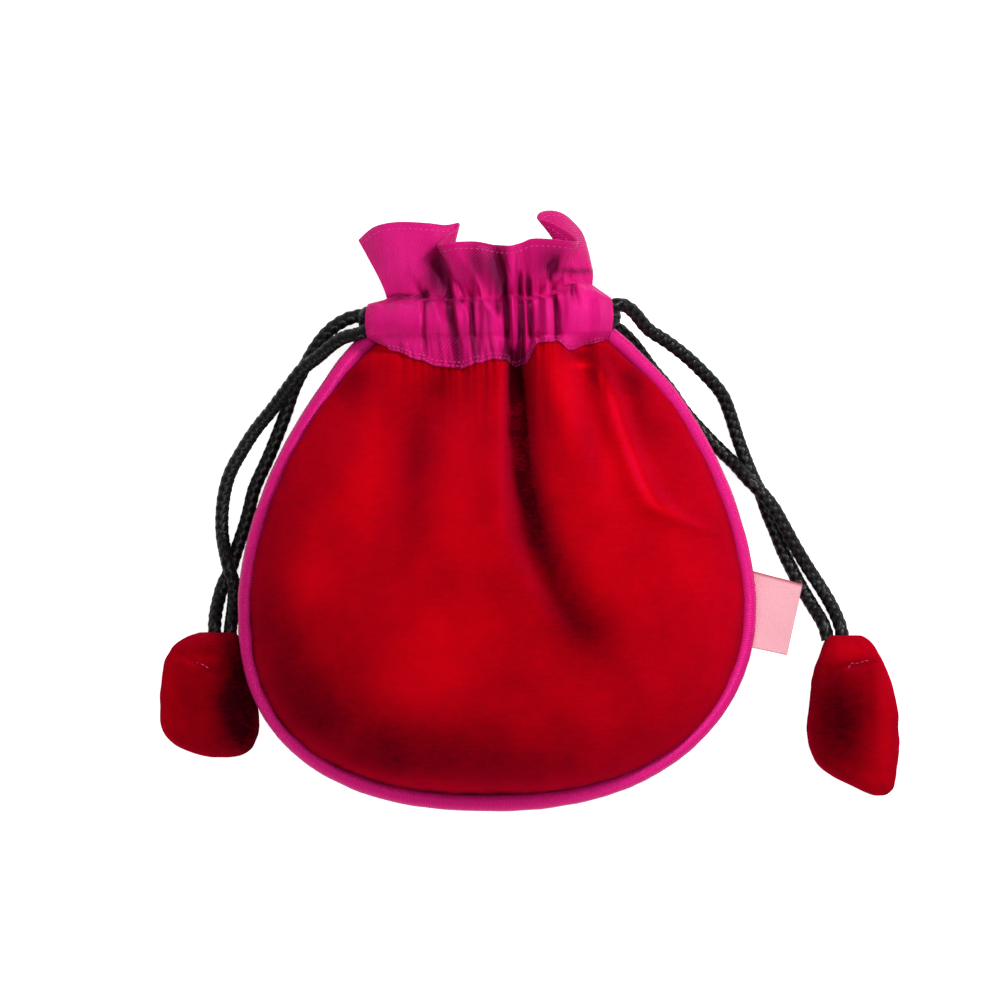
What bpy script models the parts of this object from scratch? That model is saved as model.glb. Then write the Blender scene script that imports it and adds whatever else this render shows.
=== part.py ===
# Kinchaku drawstring pouch: a round velvet bag with satin piping, a gathered satin neck band that
# holds two drawcords, and a stuffed velvet stopper on the ends of each cord. It lies on its back.
# +X is to the right, +Y towards the mouth and +Z away from the surface that it lies on. The origin
# is on the back panel's resting face, under the widest part of the body.

import functools
import math

import bpy
import bmesh
from mathutils import Vector
from mathutils.geometry import tessellate_polygon

MM = 0.001

# Body outline, over the piping
BODY_WIDTH = 137.8 * MM
BODY_DROP = 54.9 * MM
SHOULDER_RISE = 89.7 * MM
DROP_ROUNDNESS = 2.3
SHOULDER_ROUNDNESS = 1.7
BOTTOM_SHIFT = -2.2 * MM
NECK_LEAN = -1.2 * MM

# Body thickness, measured from the plane of the piping
RIM_HEIGHT = 17.0 * MM
FRONT_DEPTH = 27.0 * MM
BACK_DEPTH = 20.5 * MM
OVERHANG = 2.9 * MM
OVERHANG_SIDE = 1.4

# Cloth
VELVET_WALL = 1.2 * MM
SATIN_WALL = 0.6 * MM
SEAM_GAP = 0.3 * MM
NECK_SEAM_GAP = 0.6 * MM
LINING_SLACK = 1.5 * MM
LINING_CROWN = 3.8 * MM
LINING_TOP = 62.4 * MM

# Piping
PIPING_DIAMETER = 4.6 * MM
FLANGE_DEPTH = 1.2 * MM
FLANGE_THICKNESS = 0.5 * MM
PIPING_TUCK = 1.2 * MM
PIPING_GAP = 0.7 * MM

# Neck: the flat oval that the gathered band makes
NECK_HEIGHT = 13.5 * MM
NECK_SHIFT = -2.0 * MM
NECK_HALF_WIDTH = 34.3 * MM
NECK_HALF_DEPTH = 8.0 * MM
NECK_ROUNDNESS = 2.6
NECK_CROWN = 9.6 * MM
SLIT_WIDTH = 9.0 * MM
SEAM_END = 69.4 * MM
CHANNEL_RISE = 76.3 * MM
CHANNEL_SLOPE = 0.02

# Drawcords
CORD_DIAMETER = 3.5 * MM
CORD_CLEARANCE = 0.6 * MM
CORD_SPACING = 3.9 * MM
CORD_STEP = 5.0 * MM

# Header ruffle above the channel
PINCH_RISE = 5.5 * MM
PINCH_TUCK = 1.2 * MM
HEADER_LAYER = 0.6 * MM
HEADER_FLARE = 1.3

# Side label
LABEL_WIDTH = 19.4 * MM
LABEL_REACH = 15.6 * MM
LABEL_LAYER = 0.4 * MM
LABEL_POCKET = 0.3 * MM
LABEL_TURN = math.radians(-12)
LABEL_CENTRE = -1.8 * MM
LABEL_DROOP = 1.6 * MM

# Cord stoppers: middle of the top, full width, length and thickness. The form's rows give the share of
# the length below the top, the left and right edges as shares of half the width, and the thickness
LEFT_STOPPER = dict(top=(-77.0 * MM, -10.0 * MM), width=26.2 * MM, length=31.0 * MM, thick=17.0 * MM)
RIGHT_STOPPER = dict(top=(94.6 * MM, -10.2 * MM), width=24.4 * MM, length=41.0 * MM, thick=17.4 * MM)
LEFT_FORM = [(0.0, -0.16, 0.58, 0.34), (0.04, -0.60, 0.67, 0.62), (0.10, -0.78, 0.71, 0.80), (0.21, -0.91, 0.79, 0.95),
             (0.40, -0.99, 0.92, 1.0), (0.57, -0.985, 0.99, 1.0), (0.74, -0.95, 1.0, 0.93), (0.85, -0.80, 0.96, 0.80),
             (0.93, -0.52, 0.86, 0.60), (0.98, -0.24, 0.70, 0.40), (1.0, 0.02, 0.48, 0.26)]
RIGHT_FORM = [(0.0, -0.50, 0.17, 0.34), (0.04, -0.66, 0.42, 0.60), (0.12, -0.81, 0.62, 0.84), (0.25, -0.92, 0.80, 0.97),
              (0.41, -0.97, 0.93, 1.0), (0.56, -1.0, 1.0, 1.0), (0.69, -0.97, 0.99, 0.96), (0.80, -0.77, 0.97, 0.88),
              (0.88, -0.43, 0.93, 0.74), (0.95, 0.0, 0.86, 0.54), (0.99, 0.30, 0.72, 0.36), (1.0, 0.42, 0.64, 0.26)]

# Lower edge of the neck band: place across the front and height above the seam's ends, in mm
SEAM_WAVE = [(-1.0, 0.2), (-0.83, -2.1), (-0.62, -4.4), (-0.47, -6.0), (-0.27, -6.6), (-0.11, -5.2),
             (0.01, -4.2), (0.12, -4.6), (0.20, -6.2), (0.27, -5.6), (0.40, 0.2), (0.56, 0.4),
             (0.66, -1.8), (0.82, -0.2), (1.0, 0.8)]

# Gather folds of the front panel: path from the neck down as (across, up), height and half width in mm
FRONT_FOLDS = [
    dict(path=[(0.22, 1.0), (0.17, 0.5), (0.18, 0.15), (0.42, -0.3)], height=-6.0, width=3.2, spread=5.0),
    dict(path=[(0.45, 1.0), (0.42, 0.8), (0.44, 0.5), (0.55, 0.2)], height=3.2, width=4.2, spread=4.0),
    dict(path=[(0.66, 1.0), (0.62, 0.65), (0.62, 0.4), (0.66, 0.2)], height=-3.0, width=3.2, spread=4.0),
    dict(path=[(0.80, 1.0), (0.72, 0.8), (0.69, 0.5), (0.85, 0.25)], height=2.6, width=3.6, spread=3.0),
    dict(path=[(0.00, 1.0), (-0.02, 0.6), (-0.04, 0.2), (-0.06, -0.2)], height=2.6, width=6.0, spread=4.0),
    dict(path=[(-0.36, 1.0), (-0.44, 0.55), (-0.50, 0.25), (-0.5, 0.0)], height=-2.6, width=4.6, spread=5.0),
    dict(path=[(-0.62, 1.0), (-0.66, 0.65), (-0.72, 0.4), (-0.8, 0.15)], height=1.8, width=6.0, spread=4.0),
]

# Gather crests of the channel: place across the neck, height and half width in mm
FRONT_CRESTS = [(-0.86, 0.9, 3.0), (-0.66, 0.8, 3.4), (-0.46, 1.4, 2.4), (-0.25, 1.9, 1.6), (-0.13, 1.7, 1.4),
                (0.01, 2.2, 1.7), (0.13, 1.7, 1.3), (0.45, 2.6, 2.4), (0.67, 1.3, 2.1), (0.84, 1.5, 2.6)]
BACK_CRESTS = [(-0.75, 0.8, 3.2), (-0.45, 1.1, 2.6), (-0.18, 1.2, 2.4), (0.1, 1.2, 2.4), (0.36, 1.2, 2.4),
               (0.62, 1.1, 2.6), (0.84, 0.8, 3.0)]

# Upper edge of the ruffle, left to right: place across the neck where the cloth is gathered, then in
# mm its place across the neck, above the middle of the channel and above the neck's mid height
FRONT_EDGE = [(-0.80, -34.9, 21.1, -1.6), (-0.70, -30.6, 24.4, 1.2), (-0.58, -24.5, 25.5, 3.8), (-0.46, -16.9, 25.2, 5.0),
              (-0.39, -11.8, 24.7, 4.0), (-0.33, -8.3, 25.3, 3.2), (-0.29, -8.6, 23.9, 6.0),
              (-0.24, -11.2, 21.6, 9.4), (-0.18, -13.6, 18.9, 12.2), (-0.11, -9.8, 19.6, 13.6),
              (-0.02, -3.7, 19.9, 11.8), (0.07, 0.8, 19.2, 9.6), (0.12, 3.6, 18.9, 11.2), (0.17, 5.7, 18.8, 12.4),
              (0.24, 8.4, 19.6, 10.8), (0.31, 11.5, 20.7, 11.0), (0.38, 17.1, 20.5, 11.0), (0.44, 21.8, 20.0, 10.4),
              (0.49, 23.3, 20.3, 8.0), (0.54, 20.6, 23.0, 5.6), (0.59, 16.0, 25.6, 3.8), (0.63, 12.9, 26.6, 2.0),
              (0.66, 13.4, 28.2, 0.2), (0.685, 16.0, 28.9, -1.2), (0.71, 19.1, 28.4, -2.2),
              (0.74, 21.9, 26.4, -2.6), (0.77, 24.9, 22.6, -2.6), (0.80, 25.3, 17.6, -2.6)]
BACK_EDGE = [(-0.80, -34.0, 19.6, -5.0), (-0.66, -28.0, 21.4, -7.0), (-0.45, -20.0, 21.6, -8.6), (-0.25, -12.0, 19.4, -7.2),
             (-0.05, -4.0, 17.8, -8.4), (0.15, 4.0, 17.6, -7.6), (0.35, 11.0, 18.4, -8.8), (0.55, 18.0, 19.8, -8.4),
             (0.70, 23.0, 18.6, -7.4), (0.80, 25.6, 16.0, -6.4)]

# Free runs of the cords, stopper to neck slit, in mm
LEFT_RUN_IN = [(-75.5, -9.3, 7.6), (-75.6, -6.1, 7.3), (-75.4, -2.4, 5.2), (-74.7, 1.3, 2.8), (-73.7, 5.0, 1.8),
               (-71.8, 8.7, 1.8), (-70.6, 12.5, 1.8), (-69.4, 16.2, 1.8), (-67.8, 20.9, 1.8),
               (-66.5, 25.7, 1.8), (-65.2, 31.0, 1.8), (-61.7, 38.7, 1.8), (-58.8, 45.8, 1.8),
               (-56.7, 51.4, 2.0), (-54.6, 57.5, 3.2), (-51.8, 63.1, 5.0), (-48.5, 68.8, 6.8),
               (-44.7, 73.3, 8.2), (-40.3, 76.1, 9.0), (-36.9, 77.0, 9.2)]
LEFT_RUN_OUT = [(-36.5, 72.0, 16.2), (-40.6, 71.2, 13.8), (-44.4, 68.9, 11.8), (-47.4, 66.3, 10.4),
                (-51.9, 62.9, 9.0), (-55.4, 58.6, 7.3), (-60.2, 52.3, 3.8), (-64.7, 46.9, 1.9),
                (-68.1, 41.7, 1.8), (-71.6, 35.4, 1.8), (-73.2, 30.0, 1.8), (-73.9, 24.6, 1.8),
                (-73.9, 19.1, 2.2), (-73.2, 15.0, 3.9), (-72.5, 12.2, 5.3), (-71.7, 9.0, 5.9), (-70.6, 5.6, 5.0),
                (-70.5, 2.1, 4.4), (-70.8, -1.9, 5.6), (-71.3, -6.1, 7.3), (-71.5, -9.3, 7.6)]
RIGHT_RUN_IN = [(92.5, -9.2, 7.6), (91.8, -5.6, 7.1), (89.9, -0.8, 4.2), (87.2, 4.0, 2.4), (83.6, 9.5, 2.8),
                (80.1, 15.2, 4.0), (77.0, 20.8, 4.8), (74.2, 25.7, 5.4), (70.8, 29.9, 5.8),
                (67.4, 33.2, 5.6), (63.9, 37.4, 3.2), (60.7, 40.5, 1.9), (55.4, 46.0, 1.8),
                (50.5, 51.5, 1.8), (46.3, 57.5, 2.6), (41.7, 62.8, 4.6), (36.9, 69.2, 7.0), (32.6, 73.4, 8.4)]
RIGHT_RUN_OUT = [(32.6, 79.9, 17.4), (36.2, 78.0, 15.2), (40.2, 73.4, 12.4), (44.8, 70.5, 10.4),
                 (50.4, 66.4, 8.2), (55.7, 61.5, 6.0), (60.3, 56.3, 4.0), (62.6, 51.0, 2.6),
                 (64.7, 44.4, 1.9), (66.7, 39.0, 1.8), (68.9, 33.7, 1.8), (71.0, 29.4, 1.8),
                 (72.6, 24.6, 1.8), (74.7, 19.6, 1.8), (76.9, 14.0, 1.8), (79.5, 8.7, 1.8),
                 (82.0, 4.0, 1.9), (84.8, -0.8, 3.6), (87.6, -5.8, 7.1), (88.5, -9.7, 7.6)]
TURN_REACH = 0.97

# Mesh density
PANEL_COLUMNS = 28
PANEL_ROWS = (9, 10)
BACK_COLUMNS = 14
BACK_ROWS = (7, 6)
LINING_COLUMNS = 12
LINING_ROWS = (5, 5)
BAND_SPLIT = 2
PIPING_STATIONS = 50
STOPPER_RINGS = 10
STOPPER_SIDES = 20

# Linear colours with roughness
COLOURS = {
    "velvet": ((0.42, 0.002, 0.010), 0.85),
    "satin": ((0.55, 0.008, 0.17), 0.45),
    "cord": ((0.008, 0.008, 0.009), 0.6),
    "label": ((0.90, 0.40, 0.46), 0.7),
}


def ease(value):
    value = min(1.0, max(0.0, value))
    return value * value * (3.0 - 2.0 * value)


def mix(first, second, share):
    return first + (second - first) * share


def curve_point(points, place):
    # Catmull-Rom curve through the points; place runs from 0 to 1
    span = min(max(place, 0.0), 1.0) * (len(points) - 1)
    index = min(int(span), len(points) - 2)
    part = span - index
    before, start, end, after = (points[min(max(index + step, 0), len(points) - 1)] for step in (-1, 0, 1, 2))
    return [0.5 * (2 * b + (c - a) * part + (2 * a - 5 * b + 4 * c - d) * part ** 2
                   + (3 * b - a - 3 * c + d) * part ** 3)
            for a, b, c, d in zip(before, start, end, after)]


def table_value(table, place):
    # Smooth value of a short list of (place, value) pairs
    table = sorted(table)
    if place <= table[0][0]:
        return table[0][1]
    for (low, first), (high, second) in zip(table, table[1:]):
        if place <= high:
            return mix(first, second, ease((place - low) / (high - low)))
    return table[-1][1]


def outline(angle, inset):
    # Point of the body's outline moved inwards by inset, its outward normal, and how far up it lies
    cosine, sine = math.cos(angle), math.sin(angle)
    half = BODY_WIDTH / 2
    height, power = (SHOULDER_RISE, SHOULDER_ROUNDNESS) if sine > 0 else (BODY_DROP, DROP_ROUNDNESS)
    x = math.copysign(abs(cosine) ** (2 / power), cosine)
    y = math.copysign(abs(sine) ** (2 / power), sine)
    normal = Vector((math.copysign(abs(x) ** (power - 1), x) / half,
                     math.copysign(abs(y) ** (power - 1), y) / height)).normalized()
    return Vector((x * half, y * height)) - normal * inset, normal, y * height


@functools.lru_cache
def end_angle(inset, top):
    # Angle at which the outline, moved inwards, reaches a height on the shoulder
    low, high = 0.0, math.pi / 2
    for _ in range(40):
        middle = (low + high) / 2
        if outline(middle, inset)[0].y < top:
            low = middle
        else:
            high = middle
    return low


def sway(level):
    # Sideways shift of the body at its foot and at its neck
    return BOTTOM_SHIFT * ease(-level / BODY_DROP) + NECK_LEAN * ease(5 * level / SEAM_END - 4)


def rim_height(level):
    return mix(RIM_HEIGHT, NECK_HEIGHT, ease(level / SEAM_END))


def plan_point(across, up, inset, top, waved):
    # Place in plan of a grid point of the body, with its reach towards the rim, the rim's normal and
    # level there: across runs from -1 to 1, up from -1 at the bottom to 1 at the neck
    if up >= 0:
        edge, normal, level = outline(up * end_angle(inset, top), inset)
        wave = table_value(SEAM_WAVE, across) * MM * ease(up) * up if waved else 0.0
        normal.x *= math.copysign(1, across)
        return Vector((across * edge.x + sway(level), edge.y + wave)), abs(across), normal, level
    flat = across * math.sqrt(1 - up * up / 2)
    fall = up * math.sqrt(1 - across * across / 2)
    reach = math.hypot(flat, fall)
    edge, normal, level = outline(math.atan2(fall, flat), inset)
    return edge * reach + Vector((sway(level) * reach, 0.0)), reach, normal, level


def arch(reach, up, rise):
    # Cross-section of the body, from a round belly to the flat oval of the neck
    power = mix(NECK_ROUNDNESS, 2.0, rise)
    return max(0.0, 1 - reach ** power) ** (1 / power if up >= 0 else 0.5)


def fold_height(across, up, half_width):
    # Sum of the gather folds of the front panel
    total = 0.0
    for fold in FRONT_FOLDS:
        places = [(height, place) for place, height in fold["path"]]
        start, end = places[0][0], places[-1][0]
        if up < end:
            continue
        share = (start - up) / (start - end)
        width = fold["width"] * MM * mix(1.0, fold["spread"] / 2, share)
        offset = (across - table_value(places, up)) * half_width / width
        total += fold["height"] * MM * (1 - ease(share)) * math.exp(-offset * offset)
    return total


def front_point(across, up, inset, sink):
    # Point of the front panel: inset from the outline and sunk below its outer face
    spot, reach, normal, level = plan_point(across, up, inset, SEAM_END, True)
    rise = 0.5 * (1 + math.cos(math.pi * max(up, 0.0) ** 1.25))
    lift = (mix(NECK_CROWN, FRONT_DEPTH, rise) - sink) * arch(reach, up, rise)
    half_width = outline(max(up, 0.0) * end_angle(inset, SEAM_END), inset)[0].x
    lift = max(0.0, lift + fold_height(across, up, half_width) * (1 - reach ** 8))
    side = min(1.0, OVERHANG_SIDE * abs(normal.x)) * (1 - ease((up - 0.75) / 0.25))
    spot = spot + normal * OVERHANG * side * ease((lift - 1.0 * MM) / (4.0 * MM)) * ease((reach - 0.5) / 0.5)
    return Vector((spot.x, spot.y, rim_height(level) + FLANGE_THICKNESS / 2 + SEAM_GAP + lift))


def back_point(across, up, inset, sink, top=SEAM_END, waved=True):
    # Point of the back panel; where it would pass below the resting face, it lies flat on it
    spot, reach, _, level = plan_point(across, up, inset, top, waved)
    rise = 0.5 * (1 + math.cos(math.pi * max(up, 0.0) ** 1.25))
    fall = (mix(NECK_CROWN, BACK_DEPTH, rise) - sink) * arch(reach, up, rise)
    return Vector((spot.x, spot.y, max(rim_height(level) - FLANGE_THICKNESS / 2 - SEAM_GAP - fall, sink)))


def lining_point(across, up, inset, sink):
    # Point of the lining's front, which hangs free of the velvet's folds
    spot, reach, _, level = plan_point(across, up, inset, LINING_TOP, False)
    rise = 0.5 * (1 + math.cos(math.pi * max(up, 0.0) ** 0.85))
    lift = mix(LINING_CROWN, FRONT_DEPTH - LINING_SLACK, rise) - sink
    return Vector((spot.x, spot.y, rim_height(level) + max(lift, 0.0) * arch(reach, up, rise)))


def grid_places(columns, rows):
    # Grid parameters, closer together near the rim
    ups = [-math.sin(math.pi / 2 * (1 - index / rows[0])) ** 0.9 for index in range(rows[0])]
    ups += [index / rows[1] for index in range(rows[1] + 1)]
    sides = [2 * index / columns - 1 for index in range(columns + 1)]
    return [0.3 * side + 0.7 * math.sin(math.pi / 2 * side) for side in sides], ups


def add_material(item, kind):
    colour, roughness = COLOURS[kind]
    material = bpy.data.materials.new(item.name)
    material.use_nodes = True
    shader = material.node_tree.nodes["Principled BSDF"]
    shader.inputs["Base Color"].default_value = (*colour, 1.0)
    shader.inputs["Roughness"].default_value = roughness
    shader.inputs["Metallic"].default_value = 0.0
    item.data.materials.append(material)


def add_object(name, mesh, kind):
    form = bmesh.new()
    form.from_mesh(mesh)
    bmesh.ops.recalc_face_normals(form, faces=form.faces)
    form.to_mesh(mesh)
    form.free()
    mesh.shade_smooth()
    mesh.set_sharp_from_angle(angle=math.radians(50))
    item = bpy.data.objects.new(name, mesh)
    bpy.context.scene.collection.objects.link(item)
    add_material(item, kind)
    return item


def mesh_from(name, points, faces):
    mesh = bpy.data.meshes.new(name)
    mesh.from_pydata([tuple(point) for point in points], [], faces)
    mesh.validate()
    return mesh


def shell(name, outer, inner, kind):
    # Closed sheet between two grids of the same size
    rows, columns = len(outer), len(outer[0])
    points = [point for grid in (outer, inner) for row in grid for point in row]
    layer = rows * columns

    def index(row, column, side):
        return side * layer + row * columns + column

    faces = []
    for row in range(rows - 1):
        for column in range(columns - 1):
            for side in (0, 1):
                ring = [(row, column), (row, column + 1), (row + 1, column + 1), (row + 1, column)]
                faces.append([index(*corner, side) for corner in (ring if side == 0 else ring[::-1])])
    border = [(0, column) for column in range(columns)]
    border += [(row, columns - 1) for row in range(1, rows)]
    border += [(rows - 1, column) for column in range(columns - 2, -1, -1)]
    border += [(row, 0) for row in range(rows - 2, 0, -1)]
    for start, end in zip(border, border[1:] + border[:1]):
        faces.append([index(*end, 0), index(*start, 0), index(*start, 1), index(*end, 1)])
    return add_object(name, mesh_from(name, points, faces), kind)


def level_border(outer, inner):
    # The wall's edge lies in the plane of the piping's flange, and at the neck across the wall
    for row, (outer_row, inner_row) in enumerate(zip(outer, inner)):
        for column in range(len(outer_row)):
            if row == 0 or column in (0, len(outer_row) - 1):
                inner_row[column].z = outer_row[column].z
    for outer_corner, inner_corner in zip(outer[-1], inner[-1]):
        inner_corner.y = outer_corner.y


def panel_inset():
    return PIPING_DIAMETER + PIPING_GAP


def make_front_panel():
    sides, ups = grid_places(PANEL_COLUMNS, PANEL_ROWS)
    outer = [[front_point(side, up, panel_inset(), 0.0) for side in sides] for up in ups]
    inner = [[front_point(side, up, panel_inset() + VELVET_WALL, VELVET_WALL) for side in sides] for up in ups]
    level_border(outer, inner)
    shell("front_panel", outer, inner, "velvet")
    return outer, inner


def make_back_panel():
    sides, ups = grid_places(BACK_COLUMNS, BACK_ROWS)
    outer = [[back_point(side, up, panel_inset(), 0.0) for side in sides] for up in ups]
    inner = [[back_point(side, up, panel_inset() + VELVET_WALL, VELVET_WALL) for side in sides] for up in ups]
    level_border(outer, inner)
    shell("back_panel", outer, inner, "velvet")
    return outer, inner


def lining_skin(step):
    # One skin of the lining bag: front grid, then back grid, which share their rim
    sides, ups = grid_places(LINING_COLUMNS, LINING_ROWS)
    inset = panel_inset() + VELVET_WALL + SEAM_GAP + step
    sink = VELVET_WALL + SEAM_GAP + step
    front = [[lining_point(side, up, inset, sink) for side in sides] for up in ups]
    back = [[back_point(side, up, inset, sink + SEAM_GAP, LINING_TOP, False) for side in sides] for up in ups]
    for row, (front_row, back_row) in enumerate(zip(front, back)):
        for column in range(len(sides)):
            if row == 0 or column in (0, len(sides) - 1):
                back_row[column] = front_row[column].copy()
    return front, back


def make_lining():
    # A bag inside the velvet: a closed sack of satin, open at the neck
    columns = LINING_COLUMNS + 1
    points, faces, mouths = [], [], []
    for step, flip in ((0.0, False), (SATIN_WALL, True)):
        front, back = lining_skin(step)
        rows = len(front)
        base = len(points)
        points += [point for grid in (front, back) for row in grid for point in row]
        for side in (0, 1):
            for row in range(rows - 1):
                for column in range(columns - 1):
                    start = base + side * rows * columns + row * columns + column
                    face = [start, start + 1, start + columns + 1, start + columns]
                    faces.append(face[::-1] if flip != bool(side) else face)
        top = base + (rows - 1) * columns
        mouth = [top + column for column in range(columns)]
        mouth += [top + rows * columns + column for column in range(columns - 2, 0, -1)]
        mouths.append(mouth)
    outer, inner = mouths
    for index in range(len(outer)):
        after = (index + 1) % len(outer)
        faces.append([outer[index], outer[after], inner[after], inner[index]])
    mesh = mesh_from("lining", points, faces)
    form = bmesh.new()
    form.from_mesh(mesh)
    bmesh.ops.remove_doubles(form, verts=form.verts, dist=0.02 * MM)
    form.to_mesh(mesh)
    form.free()
    return add_object("lining", mesh, "satin")


def make_piping():
    # A covered cord round the seam, with the flange that the two panels are sewn to
    radius = PIPING_DIAMETER / 2
    limit = end_angle(radius, SEAM_END - PIPING_TUCK)
    arc = [math.radians(160 - 320 * index / 6) for index in range(7)]
    section = [(radius * math.cos(angle), radius * math.sin(angle)) for angle in arc]
    half = FLANGE_THICKNESS / 2
    root = -math.sqrt(radius * radius - half * half)
    section += [(root, -half), (-radius - FLANGE_DEPTH, -half), (-radius - FLANGE_DEPTH, half), (root, half)]
    points, faces = [], []
    for station in range(PIPING_STATIONS + 1):
        angle = limit - (math.pi + 2 * limit) * station / PIPING_STATIONS
        spot, normal, level = outline(angle, radius)
        spot.x += sway(level)
        for out, lift in section:
            points.append((spot.x + normal.x * out, spot.y + normal.y * out, rim_height(level) + lift))
    count = len(section)
    for station in range(PIPING_STATIONS):
        for index in range(count):
            after = (index + 1) % count
            start = station * count
            faces.append([start + index, start + after, start + count + after, start + count + index])
    faces.append(list(range(count)))
    faces.append([PIPING_STATIONS * count + index for index in range(count)])
    return add_object("piping", mesh_from("piping", points, faces), "satin")


def channel_place(across, side):
    # Middle of the cord channel and its outward normal; side is 1 for the front and -1 for the back
    power = NECK_ROUNDNESS
    rise = max(0.0, 1 - abs(across) ** power) ** (1 / power)
    x = NECK_SHIFT + NECK_HALF_WIDTH * across
    normal = Vector((math.copysign(abs(across) ** (power - 1), across) / NECK_HALF_WIDTH, 0.0,
                     side * rise ** (power - 1) / NECK_HALF_DEPTH)).normalized()
    return Vector((x, CHANNEL_RISE + CHANNEL_SLOPE * x, NECK_HEIGHT + side * NECK_HALF_DEPTH * rise)), normal


def channel_end():
    # How far across the neck the channel reaches before its slit
    share = SLIT_WIDTH / 2 / NECK_HALF_DEPTH
    return (1 - share ** NECK_ROUNDNESS) ** (1 / NECK_ROUNDNESS)


def crest_height(crests, across):
    return sum(height * MM * math.exp(-((across - place) * NECK_HALF_WIDTH / (width * MM)) ** 2)
               for place, height, width in crests)


def header_points(place, edge, side, crests):
    # Middle of the header cloth from its root up to its edge, at one place from -1 to 1
    across = mix(edge[0][0], edge[-1][0], (place + 1) / 2)
    root, normal = channel_place(across, side)
    gather = crest_height(crests, across)
    root = root + normal * (0.3 * gather - PINCH_TUCK) + Vector((0.0, PINCH_RISE, 0.0))
    step = max(index for index in range(len(edge) - 1) if edge[index][0] <= across)
    part = (across - edge[step][0]) / (edge[step + 1][0] - edge[step][0])
    _, x, y, z = curve_point(edge, (step + part) / (len(edge) - 1))
    tip = Vector((NECK_SHIFT + x * MM, CHANNEL_RISE + y * MM, NECK_HEIGHT + z * MM))
    flare = [(share, share ** HEADER_FLARE) for share in (0.0, 0.3, 0.65, 1.0)]
    return [Vector((mix(root.x, tip.x, out), mix(root.y, tip.y, share), mix(root.z, tip.z, out)))
            for share, out in flare]


def seam_stations(grid):
    # The panel's upper edge without its two ends, split between columns
    row = grid[-1]
    stations = []
    for index in range(1, len(row) - 2):
        for part in range(BAND_SPLIT):
            stations.append(row[index].lerp(row[index + 1], part / BAND_SPLIT))
    return stations + [row[-2]]


def make_band(name, side, edge, crests, panel_grids):
    # Double satin band: sewn to the panel, open round the cords, sewn together above them
    deep = CORD_DIAMETER / 2 + CORD_CLEARANCE
    tall = CORD_SPACING / 2 + CORD_DIAMETER / 2 + CORD_CLEARANCE
    cavity = [(-tall, -0.5 * deep), (-tall, 0.5 * deep), (-0.7 * tall, deep), (0.7 * tall, deep),
              (tall, 0.5 * deep), (tall, -0.5 * deep), (0.7 * tall, -deep), (-0.7 * tall, -deep)]
    wall = [(-tall - SATIN_WALL, 0.55), (-0.75 * tall, 1.0), (0.0, 1.08), (0.75 * tall, 1.0), (tall + SATIN_WALL, 0.5)]
    reach = channel_end()
    seam_outer, seam_inner = (seam_stations(grid) for grid in panel_grids)
    stations = len(seam_outer) - 1
    places = [2 * index / stations - 1 for index in range(stations + 1)]
    headers = [header_points(place, edge, side, crests) for place in places]
    loops, holes = [], []
    for index, place in enumerate(places):
        middle, normal = channel_place(place * reach, side)
        gather = crest_height(crests, place * reach)
        lower = seam_outer[index] + Vector((0.0, NECK_SEAM_GAP, 0.0))
        under = seam_inner[index] + Vector((0.0, NECK_SEAM_GAP, 0.0))
        outer, inner = [lower], []
        for rise, swell in wall:
            spot = middle + Vector((0.0, rise, 0.0))
            outer.append(spot + normal * (swell * (deep + SATIN_WALL) + gather))
            inner.append(spot - normal * min(swell, 1.0) * (deep + SATIN_WALL))
        before, after = headers[max(index - 1, 0)], headers[min(index + 1, stations)]
        header = headers[index]
        for level, spot in enumerate(header):
            along = after[level] - before[level]
            upward = header[min(level + 1, len(header) - 1)] - header[max(level - 1, 0)]
            facing = along.cross(upward).normalized() * side * HEADER_LAYER / 2
            outer.append(spot + facing)
            inner.append(spot - facing)
        loops.append(outer + inner[::-1] + [under])
        holes.append([middle + Vector((0.0, rise, 0.0)) + normal * out for rise, out in cavity])
    return add_tube_pair(name, loops, holes, "satin")


def add_tube_pair(name, loops, holes, kind):
    # Solid between an outer tube and the hole through it, closed by a flat face at each end
    form = bmesh.new()
    ends = []
    for rings in (loops, holes):
        verts = [[form.verts.new(point) for point in ring] for ring in rings]
        count = len(verts[0])
        for first, second in zip(verts, verts[1:]):
            for index in range(count):
                # The two skins of a sheet are split along the same diagonal, so that twists don't cross
                after = (index + 1) % count
                low, high = (first, second) if index < count // 2 else (second, first)
                form.faces.new((low[index], low[after], high[after]))
                form.faces.new((low[index], high[after], high[index]))
        ends.append((verts[0], verts[-1]))
    for outer, inner in zip(*ends):
        corners = outer + inner
        rings = [[vert.co.copy() for vert in ring] for ring in (outer, inner)]
        for face in tessellate_polygon(rings):
            form.faces.new([corners[index] for index in face])
    mesh = bpy.data.meshes.new(name)
    form.to_mesh(mesh)
    form.free()
    return add_object(name, mesh, kind)


def channel_run(side, lane, forward):
    # Cord points inside one channel, from the left slit to the right one or back
    reach = channel_end()
    count = 14
    run = []
    for index in range(count):
        across = reach * (2 * index / (count - 1) - 1)
        middle, _ = channel_place(across, side)
        run.append(middle + Vector((0.0, lane * CORD_SPACING / 2, 0.0)))
    return run if forward else run[::-1]


def slit_turn(end, from_side, from_lane):
    # The cord's turn from one channel into the other, round the slit at one end of the neck
    turn = []
    for share in (-0.62, 0.0, 0.62):
        x = NECK_SHIFT + end * NECK_HALF_WIDTH * (TURN_REACH - 0.025 * abs(share))
        y = CHANNEL_RISE + CHANNEL_SLOPE * x - 1.5 * share * from_lane * CORD_SPACING / 2
        turn.append(Vector((x, y, NECK_HEIGHT - share * from_side * SLIT_WIDTH / 2)))
    return turn


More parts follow.
